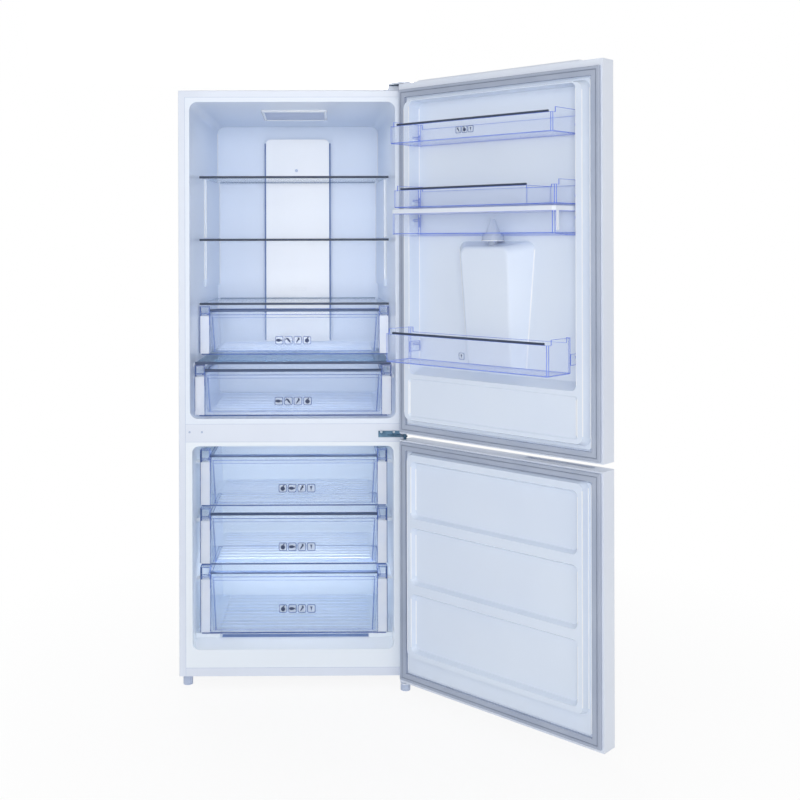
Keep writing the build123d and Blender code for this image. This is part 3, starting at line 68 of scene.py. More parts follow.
class Shader:
    """A Principled material with procedural colour variation and grain."""

    def __init__(self, name, colour, roughness, sockets=()):
        self.material = bpy.data.materials.new(name)
        self.material.use_nodes = True
        self.tree = self.material.node_tree
        self.surface = self.tree.nodes["Principled BSDF"]
        self.surface.inputs["Base Color"].default_value = linear(*colour)
        self.surface.inputs["Roughness"].default_value = roughness
        for socket, value in dict(sockets).items():
            self.surface.inputs[socket].default_value = value

    def node(self, kind, **values):
        """New node; a value is set on the socket of that name, or else on the node."""
        node = self.tree.nodes.new(kind)
        for key, value in values.items():
            if key in node.inputs:
                node.inputs[key].default_value = value
            else:
                setattr(node, key, value)
        return node

    def link(self, source, target):
        self.tree.links.new(source, target)

    def place(self):
        """Coordinates in metres, fixed to the piece."""
        return self.node("ShaderNodeTexCoord").outputs["Object"]

    def noise(self, scale, detail=2.0, stretch=(1, 1, 1)):
        mapping = self.node("ShaderNodeMapping", Scale=stretch)
        self.link(self.place(), mapping.inputs["Vector"])
        noise = self.node("ShaderNodeTexNoise", Scale=scale, Detail=detail)
        self.link(mapping.outputs["Vector"], noise.inputs["Vector"])
        return noise.outputs["Fac"]

    def ramp(self, fac, *stops):
        """Colour ramp; stops are (position, screen colour)."""
        ramp = self.node("ShaderNodeValToRGB")
        elements = ramp.color_ramp.elements
        while len(elements) < len(stops):
            elements.new(0.5)
        for element, (position, colour) in zip(elements, stops):
            element.position = position
            element.color = linear(*colour)
        self.link(fac, ramp.inputs["Fac"])
        return ramp.outputs["Color"]

    def spread(self, fac, low, high, start=0.0, end=1.0):
        """Value that runs from low to high as fac runs from start to end."""
        scaled = self.node("ShaderNodeMapRange")
        scaled.inputs["From Min"].default_value = start
        scaled.inputs["From Max"].default_value = end
        scaled.inputs["To Min"].default_value = low
        scaled.inputs["To Max"].default_value = high
        self.link(fac, scaled.inputs["Value"])
        return scaled.outputs["Result"]

    def combine(self, operation, one, two, **values):
        """Result of a Math node on two sockets."""
        result = self.node("ShaderNodeMath", operation=operation, **values)
        self.link(one, result.inputs[0])
        self.link(two, result.inputs[1])
        return result.outputs[0]

    def colour(self, source):
        self.link(source, self.surface.inputs["Base Color"])
        return self

    def vary(self, colour_a, colour_b, scale):
        """Soft patches of two colours."""
        return self.colour(self.ramp(self.noise(scale), *zip(PATCH, (colour_a, colour_b))))

    def shade_towards_back(self, colour_front, shaded_back_colour, scale):
        """Painted shade: colour that darkens towards the back of a liner, a little unevenly, where less
        light reaches in.
        """
        split = self.node("ShaderNodeSeparateXYZ")
        self.link(self.place(), split.inputs["Vector"])
        depth = self.spread(split.outputs["Y"], 0.0, LINER_SHADE_FULL, *LINER_SHADE_DEPTH)
        uneven = self.combine("ADD", depth, self.spread(self.noise(scale), -LINER_SHADE_UNEVEN, LINER_SHADE_UNEVEN))
        return self.colour(self.ramp(uneven, *zip(LINER_SHADE_STOPS, (colour_front, shaded_back_colour))))

    def rough(self, low, high, scale):
        """Roughness that changes from place to place."""
        self.link(self.spread(self.noise(scale, 4.0), low, high), self.surface.inputs["Roughness"])
        return self

    def bump(self, scale, height, detail=2.0, stretch=(1, 1, 1)):
        """Fine grain of the surface."""
        bump = self.node("ShaderNodeBump", Strength=BUMP_STRENGTH, Distance=height)
        self.link(self.noise(scale, detail, stretch), bump.inputs["Height"])
        self.link(bump.outputs["Normal"], self.surface.inputs["Normal"])
        return self

    def clear(self, face, edge, face_alpha, edge_alpha):
        """See-through plastic or glass that looks deeper in colour at grazing angles."""
        facing = self.node("ShaderNodeLayerWeight", Blend=0.5).outputs["Facing"]
        self.colour(self.ramp(facing, *zip(FACING, (face, face, edge))))
        solid = self.spread(facing, face_alpha, edge_alpha, THICKENS, 1.0)
        paths = self.node("ShaderNodeLightPath")
        # Lamp light passes through without a loss, as it nearly does in the real plastic.
        for ray in ("Is Shadow Ray", "Is Diffuse Ray"):
            solid = self.combine("SUBTRACT", solid, paths.outputs[ray], use_clamp=True)
        self.link(solid, self.surface.inputs["Alpha"])
        return self


# --- materials -------------------------------------------------------------------------------
# Name, colour, roughness, two patch colours, fineness of the patches, fineness of the grain,
# its height in mm, and other inputs of the shader. A larger fineness is finer.
FINISHES = {
    "paint": ("white_paint", (226, 233, 246), 0.3, (223, 230, 244), (229, 236, 248), 1.4,
              420, 0.02, {"Coat Weight": 0.25, "Coat Roughness": 0.08}),
    "door_liner": ("door_liner_plastic", (222, 232, 248), 0.26, (219, 230, 247), (225, 235, 249),
                   2.2, 650, 0.015, {"Specular IOR Level": 0.5}),
    # The duct panel is made whiter than the liner around it: painted light for the bright light on the
    # middle of the back wall.
    "duct_painted_light": ("duct_plastic_painted_light", (245, 249, 254), 0.24, (243, 247, 253), (248, 251, 255), 2.0,
             650, 0.015),
    "white_plastic": ("white_plastic", (228, 235, 247), 0.35, (224, 232, 246), (232, 238, 249),
                      5.0, 900, 0.03),
    "valve": ("valve_plastic", (206, 217, 238), 0.3, (201, 213, 236), (212, 222, 241), 30.0,
              900, 0.02, {"Alpha": 0.55}),
    "foot": ("foot_plastic", (190, 202, 226), 0.45, (182, 195, 221), (198, 209, 231), 30.0,
             900, 0.04),
    "grey_plastic": ("grey_plastic", (150, 158, 172), 0.4, (144, 152, 167), (156, 164, 177), 9.0,
                     900, 0.04),
    "gasket": ("gasket_rubber", (170, 179, 198), 0.6, (165, 175, 195), (175, 184, 202), 6.0,
               500, 0.06),
    # Painted shade in the groove of the door gaskets.
    "gasket_groove_shade": ("gasket_groove_painted_shade", (136, 146, 166), 0.65, (130, 140, 161),
                    (142, 152, 171), 40.0, 700, 0.05),
    "trim": ("dark_trim", (60, 78, 112), 0.4, (54, 72, 107), (67, 85, 118), 12.0, 900, 0.02),
    "dark_trim": ("slate_trim", (42, 56, 80), 0.4, (37, 51, 75), (48, 62, 86), 12.0, 900, 0.02),
    "screw": ("screw_zinc", (186, 196, 208), 0.3, (176, 187, 200), (196, 205, 216), 200.0,
              900, 0.03, {"Metallic": 0.7}),
    "dark_steel": ("black_enamel", (38, 40, 44), 0.38, (33, 35, 39), (45, 47, 52), 20.0,
                   500, 0.05),
    "black": ("black_plastic", (36, 38, 42), 0.5, (32, 34, 38), (42, 44, 48), 25.0, 900, 0.06),
    "zinc": ("back_sheet", (206, 211, 219), 0.42, (203, 208, 216), (208, 213, 221), 2.0,
             300, 0.04, {"Metallic": 0.35}),
    "post": ("drawer_post", (236, 242, 254), 0.2, (232, 239, 253), (240, 245, 255), 14.0,
             500, 0.02, {"Alpha": 0.75}),
    "rim": ("drawer_rim", (62, 88, 146), 0.2, (55, 81, 140), (70, 96, 153), 9.0, 500, 0.02),
    "drawer_edge": ("drawer_edge", (70, 100, 176), 0.15, (62, 92, 170), (92, 122, 196), 9.0,
                    500, 0.02),
    "drawer_rib": ("drawer_rib", (214, 228, 250), 0.15, (206, 222, 248), (222, 234, 252), 9.0,
                   500, 0.02),
    "bin_edge": ("bin_edge", (110, 136, 230), 0.15, (100, 127, 226), (128, 152, 236), 9.0,
                 500, 0.02),
    "glass_edge": ("glass_edge", (96, 124, 158), 0.12, (86, 114, 150), (112, 138, 170), 9.0,
                   500, 0.02),
    # White strips: real white rims on the duct slot, the valve and the lamp, and painted highlights along
    # the edges of the side-wall columns and the door mouldings.
    "white_rim_and_highlight": ("white_rim_and_painted_highlight", (243, 247, 253), 0.2, (240, 245, 253), (247, 250, 254), 9.0,
             500, 0.02),
    "seam": ("seam_shadow", (186, 199, 224), 0.6, (178, 192, 219), (194, 206, 229), 30.0,
             700, 0.03),
    # Dark blue strips put where there is only shade: painted shadow.
    "painted_shadow": ("channel_painted_shadow", (112, 136, 184), 0.5, (104, 128, 178), (124, 147, 192), 9.0,
                700, 0.03),
    "print": ("icon_ink", (40, 54, 88), 0.5, (34, 48, 83), (47, 61, 94), 300.0, 900, 0.01),
    "decal": ("icon_plate", (212, 223, 241), 0.4, (208, 220, 240), (216, 226, 243), 80.0,
              900, 0.01, {"Alpha": 0.4}),
}

# Name, colour, roughness, colours of the face and of the edge, how solid each of them is, and
# other inputs of the shader.
CLEAR = {
    "drawer": ("drawer_plastic", (214, 226, 248), 0.08, (200, 222, 255), (146, 180, 242),
               0.04, 0.32, {"Coat Weight": 0.2}),
    "bin": ("bin_plastic", (222, 228, 250), 0.06, (200, 216, 252), (128, 154, 238),
            0.08, 0.46, {"Coat Weight": 0.2}),
    "glass": ("shelf_glass", (205, 222, 238), 0.04, (208, 226, 242), (84, 124, 160),
              0.05, 0.40),
    "tinted_glass": ("tinted_shelf_glass", (128, 168, 198), 0.05, (138, 194, 226),
                     (94, 154, 200), 0.20, 0.72),
}

# Name, colour, and its colours at the front and at the back; the darker back colour is painted shade.
LINERS = {
    "liner": ("liner_plastic_painted_shade", (222, 231, 245), (232, 240, 252), (222, 234, 252)),
    # The freezer liner is the same plastic as the fridge liner. Its lighter colours are painted light for
    # the freezer, which the lamps reach less.
    "freezer_liner": ("freezer_liner_painted_light_plastic", (232, 241, 253), (238, 245, 253), (228, 241, 255)),
}


def make_materials():
    made = {}
    for key, (name, colour, rough, one, two, patches, grain, height, *more) in FINISHES.items():
        made[key] = Shader(name, colour, rough, *more).vary(one, two, patches) \
            .bump(grain, height * MM)
    for key, (name, colour, rough, face, edge, face_alpha, edge_alpha, *more) in CLEAR.items():
        made[key] = Shader(name, colour, rough, *more).clear(face, edge, face_alpha, edge_alpha)
    for key, (name, colour, front, back) in LINERS.items():
        made[key] = Shader(name, colour, 0.28, {"Specular IOR Level": 0.5}) \
            .shade_towards_back(front, back, 2.2).bump(650, 0.015 * MM)
    made["steel"] = Shader("hinge_steel", (72, 98, 120), 0.34, {"Metallic": 0.85}) \
        .vary((58, 84, 106), (86, 114, 138), 40.0).rough(0.25, 0.42, 60).bump(700, 0.05 * MM)
    made["foam"] = Shader("foam", (226, 214, 176), 0.9) \
        .vary((218, 205, 166), (234, 223, 188), 60.0).bump(300, 0.4 * MM, 6.0)
    made["lens"] = Shader("lamp_lens", (178, 191, 220), 0.3) \
        .vary((172, 186, 216), (184, 197, 225), 12.0).bump(500, 0.04 * MM, 2.0, (1, 6, 1))
    return {key: shader.material for key, shader in made.items()}


MATERIALS = make_materials()

DRAWERS = ["upper_crisper", "lower_crisper", "freezer_drawer_top", "freezer_drawer_middle",
           "freezer_drawer_bottom"]
BINS = ["bin_top", "bin_middle", "bin_bottom", "water_tank"]
GLASSES = ["shelf_top_glass", "shelf_middle_glass", "shelf_lower_glass"]

NODE_MATERIALS = {
    "paint": ["cabinet_shell", "mullion_cover", "base_tray", "upper_door_skin", "lower_door_skin",
              "bottom_hinge"],
    "liner": ["fridge_liner"],
    "freezer_liner": ["freezer_liner"],
    "door_liner": ["upper_door_liner", "lower_door_liner"],
    "duct_painted_light": ["air_duct_panel"],
    "zinc": ["back_panel", "machine_cover"],
    "white_plastic": ["ceiling_lamp", "hinge_cover", "upper_door_top_cap",
                      "upper_door_bottom_cap", "lower_door_top_cap", "lower_door_bottom_cap",
                      "tank_lid"],
    "valve": ["tank_valve"],
    "grey_plastic": ["dispenser_housing"],
    "foot": ["foot_left", "foot_right"],
    "gasket": ["upper_door_gasket", "lower_door_gasket"],
    "steel": ["top_hinge", "middle_hinge"],
    "dark_steel": ["compressor"],
    "black": ["dispenser_lever", "roller_left", "roller_right"],
    "foam": ["cabinet_foam", "upper_door_foam", "lower_door_foam"],
    "glass": GLASSES,
    "tinted_glass": ["crisper_shelf_glass"],
    "drawer": DRAWERS,
    "bin": BINS,
    "trim": ["upper_crisper_trim", "lower_crisper_trim", "freezer_trim_top",
             "freezer_trim_middle", "freezer_trim_bottom", "crisper_shelf_frame"],
    "dark_trim": ["shelf_top_trim", "shelf_middle_trim", "shelf_lower_trim", "bin_top_trim",
                  "bin_middle_trim", "bin_bottom_trim"],
}


def dress_nodes():
    for key, names in NODE_MATERIALS.items():
        for name in names:
            mesh = frame["nodes"][name].data
            mesh.materials.clear()
            mesh.materials.append(MATERIALS[key])


dress_nodes()


# --- places on the CAD nodes -----------------------------------------------------------------
BODY_OF = {node: body for body, nodes in record["behaviour"]["bodies"].items() for node in nodes}
BEYOND = 3.0    # metres, a distance outside the object


def shut_points(node, turn=STILL):
    """Points of a CAD node, with its door shut where turn is OPEN."""
    back = turn.inverted()
    return [back @ vertex.co for vertex in frame["nodes"][node].data.vertices]


def limits(node, turn=STILL):
    """Lowest and highest corner of a CAD node, with its door shut where turn is OPEN."""
    points = shut_points(node, turn)
    low = Vector([min(p[i] for p in points) for i in range(3)])
    high = Vector([max(p[i] for p in points) for i in range(3)])
    return low, high


def surface(node, turn=STILL):
    """A CAD node's faces, for finding where a line meets them."""
    faces = [face.vertices[:] for face in frame["nodes"][node].data.polygons]
    return BVHTree.FromPolygons(shut_points(node, turn), faces)


def surface_y(node, x, z, side=-1, turn=STILL):
    """Where a line along Y that comes from outside first meets a node, on its side * Y side."""
    start, towards = Vector((x, side * BEYOND, z)), Vector((0, -side, 0))
    return surface(node, turn).ray_cast(start, towards)[0].y


# --- mesh helpers ----------------------------------------------------------------------------
HEAD_SIDES = 24
HEAD_TAPER = 0.82       # a head's face, as a share of its foot
SUNK_RIM = 0.42         # width of the rim round a head's sunk middle, as a share of its radius
SUNK_DEPTH = 0.4        # depth of the sunk middle, as a share of the head's height
WELD = 0.02 * MM
SHORTEST_EDGE = 4 * MM
SHARP = math.radians(28)
BEAD_PROUD = 0.06 * MM
BEAD_FILL = 0.75        # how far a bead reaches into the body of its edge


def to_mesh(bm):
    bmesh.ops.recalc_face_normals(bm, faces=bm.faces)
    mesh = bpy.data.meshes.new("piece")
    bm.to_mesh(mesh)
    bm.free()
    return mesh


def add_piece(name, mesh, body, key, turn=STILL):
    """A new piece that rides on a CAD body; a door's piece is built shut and turned by OPEN."""
    mesh.name = name
    mesh.transform(turn)
    piece = bpy.data.objects.new(name, mesh)
    bpy.context.scene.collection.objects.link(piece)
    mesh.materials.append(MATERIALS[key])
    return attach(piece, body)


def join_loops(bm, one, two):
    """Band of faces between two loops with the same number of points."""
    for i in range(len(one)):
        j = (i + 1) % len(one)
        bm.faces.new((one[i], one[j], two[j], two[i]))


def skin_rows(bm, rows):
    """Closed bar through rows of points."""
    for one, two in zip(rows, rows[1:]):
        join_loops(bm, one, two)
    bm.faces.new(rows[0][::-1])
    bm.faces.new(rows[-1])


def add_block(bm, place, edge, segments=2):
    """Unit cube that a matrix sizes and places, with its edges rounded off."""
    made = bmesh.ops.create_cube(bm, size=1.0)["verts"]
    bmesh.ops.transform(bm, verts=made, matrix=place)
    edges = list(dict.fromkeys(e for v in made for e in v.link_edges))
    bmesh.ops.bevel(bm, geom=edges, offset=edge, segments=segments, affect="EDGES", profile=0.5)


def slabs_mesh(boxes, edge=0.2 * MM):
    """Boxes with rounded edges, each given by its lowest and highest corner."""
    whole = bmesh.new()
    for low, high in boxes:
        low, high = Vector(low), Vector(high)
        size = high - low
        place = Matrix.Translation((low + high) / 2) @ Matrix.Diagonal((*size, 1))
        add_block(whole, place, min(edge, min(size) / 3))
    return to_mesh(whole)


def frame_boxes(x, y, z, width):
    """Four bars round a rectangle in an upright plane; x, y and z are pairs of limits."""
    return [((x[0], y[0], z[0]), (x[1], y[1], z[0] + width)),
            ((x[0], y[0], z[1] - width), (x[1], y[1], z[1])),
            ((x[0], y[0], z[0] + width), (x[0] + width, y[1], z[1] - width)),
            ((x[1] - width, y[0], z[0] + width), (x[1], y[1], z[1] - width))]


def discs_mesh(centres, radius, height, sunk=True):
    """Round heads that look along -Y, plain or with a sunk middle."""
    whole = bmesh.new()
    turn = Matrix.Rotation(math.pi / 2, 4, "X")
    for centre in centres:
        place = Matrix.Translation(Vector(centre)) @ turn
        made = bmesh.ops.create_cone(whole, cap_ends=True, segments=HEAD_SIDES, radius1=radius,
                                     radius2=radius * HEAD_TAPER, depth=height,
                                     matrix=place)["verts"]
        if sunk:
            ends = [face for vert in made for face in vert.link_faces if len(face.verts) > 4]
            top = min(ends, key=lambda face: face.calc_center_median().y)
            bmesh.ops.inset_individual(whole, faces=[top], thickness=radius * SUNK_RIM,
                                       depth=-height * SUNK_DEPTH)
    return to_mesh(whole)


def face_direction(face, edge, along):
    """Unit vector in a face, square to one of its edges and pointing into the face."""
    middle = (edge.verts[0].co + edge.verts[1].co) / 2
    inward = face.calc_center_median() - middle
    return (inward - along * inward.dot(along)).normalized()


def every(start, end):
    return True


def edge_mesh(node, width, wanted=every, least=SHARP):
    """Slim closed beads along the sharp edges of a CAD node that the wanted test picks."""
    source = bmesh.new()
    source.from_mesh(frame["nodes"][node].data)
    bmesh.ops.remove_doubles(source, verts=source.verts, dist=WELD)
    whole = bmesh.new()
    for edge in source.edges:
        if len(edge.link_faces) != 2 or edge.calc_length() < SHORTEST_EDGE:
            continue
        one, two = edge.link_faces
        if one.normal.angle(two.normal, 0.0) < least:
            continue
        start, end = edge.verts[0].co, edge.verts[1].co
        if not wanted(start, end):
            continue
        along = (end - start).normalized()
        outward = (one.normal + two.normal).normalized()
        in_one = face_direction(one, edge, along)
        in_two = face_direction(two, edge, along)
        ring = [outward * BEAD_PROUD, in_one * width + one.normal * BEAD_PROUD,
                (in_one + in_two) * width * BEAD_FILL - outward * BEAD_PROUD,
                in_two * width + two.normal * BEAD_PROUD]
        skin_rows(whole, [[whole.verts.new(point + offset) for offset in ring]
                          for point in (start, end)])
    source.free()
    return to_mesh(whole)


# --- edges of clear plastic and glass --------------------------------------------------------
FINE_LINE = 0.9 * MM
RIM_LINE = 3.6 * MM
RIM_IN = 7 * MM             # edges this near to a drawer's front and its border make its rim
RIB_LENGTH = 0.3
RIB_TOP, RIB_BACK = 16 * MM, 20 * MM        # from the drawer's underside and front
POST_DEPTH, TOP_BAND = 30 * MM, 45 * MM     # from the drawer's front and top
POST_W = 28 * MM
POST_TOPS = {"upper_crisper": 124 * MM, "lower_crisper": 122 * MM,
             "freezer_drawer_top": 137 * MM, "freezer_drawer_middle": 137 * MM,
             "freezer_drawer_bottom": 169 * MM}     # from the drawer's underside


def add_drawer_posts():
    """Frosted plates on the upright posts at both ends of each drawer's front."""
    inset, lift, proud = 2 * MM, 4 * MM, 0.3 * MM
    for node, top in POST_TOPS.items():
        low, high = limits(node)
        z = (low.z + lift, low.z + top)
        boxes = []
        for x in (low.x + inset, high.x - inset - POST_W):
            y = surface_y(node, x + POST_W / 2, sum(z) / 2)
            boxes.append(((x, y - proud, z[0]), (x + POST_W, y + proud, z[1])))
        add_piece(f"{node}_posts", slabs_mesh(boxes), BODY_OF[node], "post")


def add_drawer_edges():
    """Dark rim and outline of each clear drawer, and pale lines on the ribs of its floor."""
    for node in DRAWERS:
        low, high = limits(node)

        def rib(start, end):
            middle = (start + end) / 2
            in_floor = middle.z < low.z + RIB_TOP and middle.y > low.y + RIB_BACK
            return abs(end.x - start.x) > RIB_LENGTH and in_floor

        def rim(start, end):
            middle = (start + end) / 2
            beside = min(middle.x - low.x, high.x - middle.x) < RIM_IN
            return middle.y < low.y + RIM_IN and (beside or middle.z < low.z + RIM_IN)

        def outline(start, end):
            middle = (start + end) / 2
            near = middle.y < low.y + POST_DEPTH or middle.z > high.z - TOP_BAND
            return near and not rib(start, end) and not rim(start, end)

        for ending, width, wanted, key in (("rim", RIM_LINE, rim, "rim"),
                                           ("edges", FINE_LINE, outline, "drawer_edge"),
                                           ("rib_lines", FINE_LINE, rib, "drawer_rib")):
            add_piece(f"{node}_{ending}", edge_mesh(node, width, wanted), BODY_OF[node], key)


def add_bin_edges():
    for node in BINS:
        add_piece(f"{node}_edges", edge_mesh(node, FINE_LINE), BODY_OF[node], "bin_edge")


def add_glass_edges():
    """Ground edges of the glass plates, apart from the one inside the front trim."""
    trim_grip = 4 * MM
    for node in GLASSES + ["crisper_shelf_glass"]:
        low = limits(node)[0]

        def ground(start, end):
            return min(start.y, end.y) > low.y + trim_grip

        add_piece(f"{node}_edges", edge_mesh(node, 2.0 * MM, ground), BODY_OF[node],
                  "glass_edge")


# --- pictograms ------------------------------------------------------------------------------
PLATE = 26 * MM
PLATE_PITCH = 29.5 * MM
BIN_PLATE = 19 * MM
BIN_PLATE_PITCH = 21 * MM
PLATE_FACE = 0.88       # a plate's width and round corners, as shares of its ring's size
PLATE_CORNER = 1 / 6
RING_INSIDE = 0.86      # a ring's opening and round corners, as shares of its size
RING_CORNER = 0.2
RING_INSIDE_CORNER = 0.15
FIGURE = 1.1            # a figure's size, as a share of its ring's
GLYPH_T = 0.3 * MM


def leaf(x, z, length, width, lean, count=14):
    """Pointed oval, as an outline in the front plane."""
    points = []
    for i in range(count):
        t = 2 * math.pi * i / count
        a = length / 2 * math.cos(t)
        b = width / 2 * math.sin(t) * abs(math.sin(t)) ** 0.3
        points.append((x + a * math.cos(lean) - b * math.sin(lean),
                       z + a * math.sin(lean) + b * math.cos(lean)))
    return points


# Figures are outlines of unit size.
FISH = [leaf(-0.08, 0, 0.62, 0.34, 0.0), [(0.18, 0), (0.36, 0.16), (0.30, 0), (0.36, -0.16)]]
CARROT = [[(-0.28, 0.30), (-0.02, 0.22), (0.16, -0.02), (0.26, -0.34), (-0.06, -0.08)],
          leaf(-0.28, 0.12, 0.3, 0.12, 0.5)]
STALK = [leaf(0, 0, 0.7, 0.16, 1.0), leaf(0.1, 0.18, 0.36, 0.14, 2.2)]
APPLE = [leaf(0, -0.04, 0.5, 0.5, 0.0), leaf(0.1, 0.28, 0.26, 0.12, 0.8)]
DROP = [[(-0.14, 0.22), (0.14, 0.22), (0.05, -0.02), (0, -0.3), (-0.05, -0.02)]]

COLD = [FISH, CARROT, STALK, APPLE]
FROZEN = [APPLE, FISH, STALK, DROP]
# Height of the row above the drawer's underside, shift to the right, and its figures.
DRAWER_ROWS = {"upper_crisper": (46 * MM, -4 * MM, COLD),
               "lower_crisper": (46 * MM, 0, COLD),
               "freezer_drawer_top": (55 * MM, 10 * MM, FROZEN),
               "freezer_drawer_middle": (55 * MM, 10 * MM, FROZEN),
               "freezer_drawer_bottom": (77 * MM, 10 * MM, FROZEN)}
# Drop of the row below the middle of the bin, shift to its side, and its figures.
BIN_ROWS = {"bin_top": (8 * MM, 5 * MM, [DROP, APPLE, STALK]),
            "bin_bottom": (12 * MM, 0, [DROP])}


def outlines_mesh(outlines, y_front, y_back):
    """Flat figures between two depths; an outline is a list of (x, z)."""
    whole = bmesh.new()
    for outline in outlines:
        skin_rows(whole, [[whole.verts.new((x, y, z)) for x, z in outline]
                          for y in (y_back, y_front)])
    return to_mesh(whole)


def rounded(x, z, width, radius, steps=4):
    """Square with round corners, as an outline in the front plane."""
    points = []
    for corner, (sx, sz) in enumerate(((1, 1), (-1, 1), (-1, -1), (1, -1))):
        for i in range(steps + 1):
            t = math.pi / 2 * (corner + i / steps)
            points.append((x + sx * (width / 2 - radius) + radius * math.cos(t),
                           z + sz * (width / 2 - radius) + radius * math.sin(t)))
    return points


def rings_mesh(centres, z, size, y_front, y_back):
    """Thin square rings with round corners."""
    whole = bmesh.new()
    borders = ((size, size * RING_CORNER), (size * RING_INSIDE, size * RING_INSIDE_CORNER))
    for centre in centres:
        outer, inner, outer_back, inner_back = [
            [whole.verts.new((px, y, pz)) for px, pz in rounded(centre, z, width, radius)]
            for y in (y_front, y_back) for width, radius in borders]
        for one, two in ((outer, inner), (inner, inner_back), (inner_back, outer_back),
                         (outer_back, outer)):
            join_loops(whole, one, two)
    return to_mesh(whole)


def add_plates(node, x, z, figures, size, pitch, turn=STILL, side=-1):
    """Row of ringed pale plates with a figure each, on a front that looks along side * Y."""
    y = surface_y(node, x, z, side, turn)
    centres = [x + (i - (len(figures) - 1) / 2) * pitch for i in range(len(figures))]
    proud, sunk = y + side * GLYPH_T, y - side * GLYPH_T
    plates = [rounded(c, z, size * PLATE_FACE, size * PLATE_CORNER) for c in centres]
    scale = size * FIGURE
    ink = [[(c + px * scale, z + pz * scale) for px, pz in outline]
           for c, figure in zip(centres, figures) for outline in figure]
    for ending, mesh, key in (
            ("plates", outlines_mesh(plates, proud, sunk), "decal"),
            ("rings", rings_mesh(centres, z, size, proud, sunk), "rim"),
            ("figures", outlines_mesh(ink, proud + side * GLYPH_T / 2, proud), "print")):
        add_piece(f"{node}_{ending}", mesh, BODY_OF[node], key, turn)


def add_drawer_plates():
    for node, (up, shift, figures) in DRAWER_ROWS.items():
        low, high = limits(node)
        add_plates(node, (low.x + high.x) / 2 + shift, low.z + up, figures, PLATE, PLATE_PITCH)


def add_bin_plates():
    for node, (drop, shift, figures) in BIN_ROWS.items():
        low, high = limits(node, OPEN)
        add_plates(node, (low.x + high.x) / 2 + shift, (low.z + high.z) / 2 - drop, figures,
                   BIN_PLATE, BIN_PLATE_PITCH, OPEN, 1)


# --- cabinet details -------------------------------------------------------------------------
CAB_LOW, CAB_HIGH = limits("cabinet_shell")
CAB_MIDDLE = (CAB_LOW.x + CAB_HIGH.x) / 2
FRONT = CAB_LOW.y
SEAM = 0.9 * MM
SEAM_PROUD = 0.25 * MM


def add_cabinet_seams():
    """Fold lines of the steel flange, ends of the mullion cover and top of the kick strip."""
    liner_low, liner_high = limits("fridge_liner")
    cover_low, cover_high = limits("mullion_cover")
    kick_top = limits("freezer_liner")[0].z
    y = (FRONT - SEAM_PROUD, FRONT + SEAM_PROUD)
    x = (liner_low.x, liner_high.x)
    boxes = [((x[0], y[0], CAB_LOW.z), (x[0] + SEAM, y[1], liner_high.z)),
             ((x[1] - SEAM, y[0], CAB_LOW.z), (x[1], y[1], liner_high.z)),
             ((x[0], y[0], liner_high.z - SEAM), (x[1], y[1], liner_high.z))]
    for z in (cover_low.z, cover_high.z, kick_top):
        boxes.append(((x[0], y[0], z - SEAM / 2), (x[1], y[1], z + SEAM / 2)))
    add_piece("front_seams", slabs_mesh(boxes), "cabinet", "seam")


def add_hinge_screws():
    """Screws of the middle hinge, and blanking plugs where it goes on a left-hand door."""
    hinge_left = limits("middle_hinge")[0].x
    cover_low, cover_high = limits("mullion_cover")
    y, z = FRONT - 3.8 * MM, (cover_low.z + cover_high.z) / 2 + 3 * MM
    screws = [(hinge_left + along, y, z) for along in (9 * MM, 47 * MM)]
    add_piece("hinge_screws", discs_mesh(screws, 4.2 * MM, 2.0 * MM), "cabinet", "screw")
    plugs = [(2 * CAB_MIDDLE - x - 8 * MM, FRONT - 0.2 * MM, z) for x, _, z in screws]
    add_piece("blanking_plugs", discs_mesh(plugs, 3.6 * MM, 1.0 * MM, sunk=False), "cabinet",
              "seam")


def add_rear_screws():
    """Screws of the machine compartment's cover, built facing forward and turned to the back."""
    low, high = limits("machine_cover")
    in_x, in_z, proud = 14 * MM, 12 * MM, 0.3 * MM
    screws = [(-x, -high.y - proud, z) for x in (low.x + in_x, CAB_MIDDLE, high.x - in_x)
              for z in (low.z + in_z, high.z - in_z)]
    add_piece("rear_screws", discs_mesh(screws, 4.0 * MM, 1.6 * MM), "cabinet", "screw",
              Matrix.Rotation(math.pi, 4, "Z"))


def add_duct_details():
    """Painted shadow: dark strips in the shaded channels beside the air duct panel; also its screw cap and
    its slot.
    """
    panel = "air_duct_panel"
    low, high = limits(panel)
    width, gap = 5.5 * MM, 0.1 * MM
    y, z = (low.y + 2 * MM, high.y), (low.z + 4 * MM, high.z - 14 * MM)
    shadow_strips = [((low.x - width, y[0], z[0]), (low.x - gap, y[1], z[1])),
                ((high.x + gap, y[0], z[0]), (high.x + width, y[1], z[1]))]
    add_piece("duct_painted_shadows", slabs_mesh(shadow_strips, 1.2 * MM), "cabinet", "painted_shadow")
    cap_x, cap_z = CAB_MIDDLE - 4 * MM, 1.615
    cap = [(cap_x, surface_y(panel, CAB_MIDDLE, cap_z), cap_z)]
    add_piece("duct_screw_cap", discs_mesh(cap, 6.0 * MM, 1.2 * MM), "cabinet", "seam")
    slot_x, slot_z = (CAB_MIDDLE - 24 * MM, CAB_MIDDLE + 30 * MM), (1.192, 1.204)
    face, proud = surface_y(panel, CAB_MIDDLE, sum(slot_z) / 2), 0.4 * MM
    bars = frame_boxes(slot_x, (face - proud, face + proud), slot_z, 1.6 * MM)
    add_piece("duct_slot", slabs_mesh(bars), "cabinet", "white_rim_and_highlight")


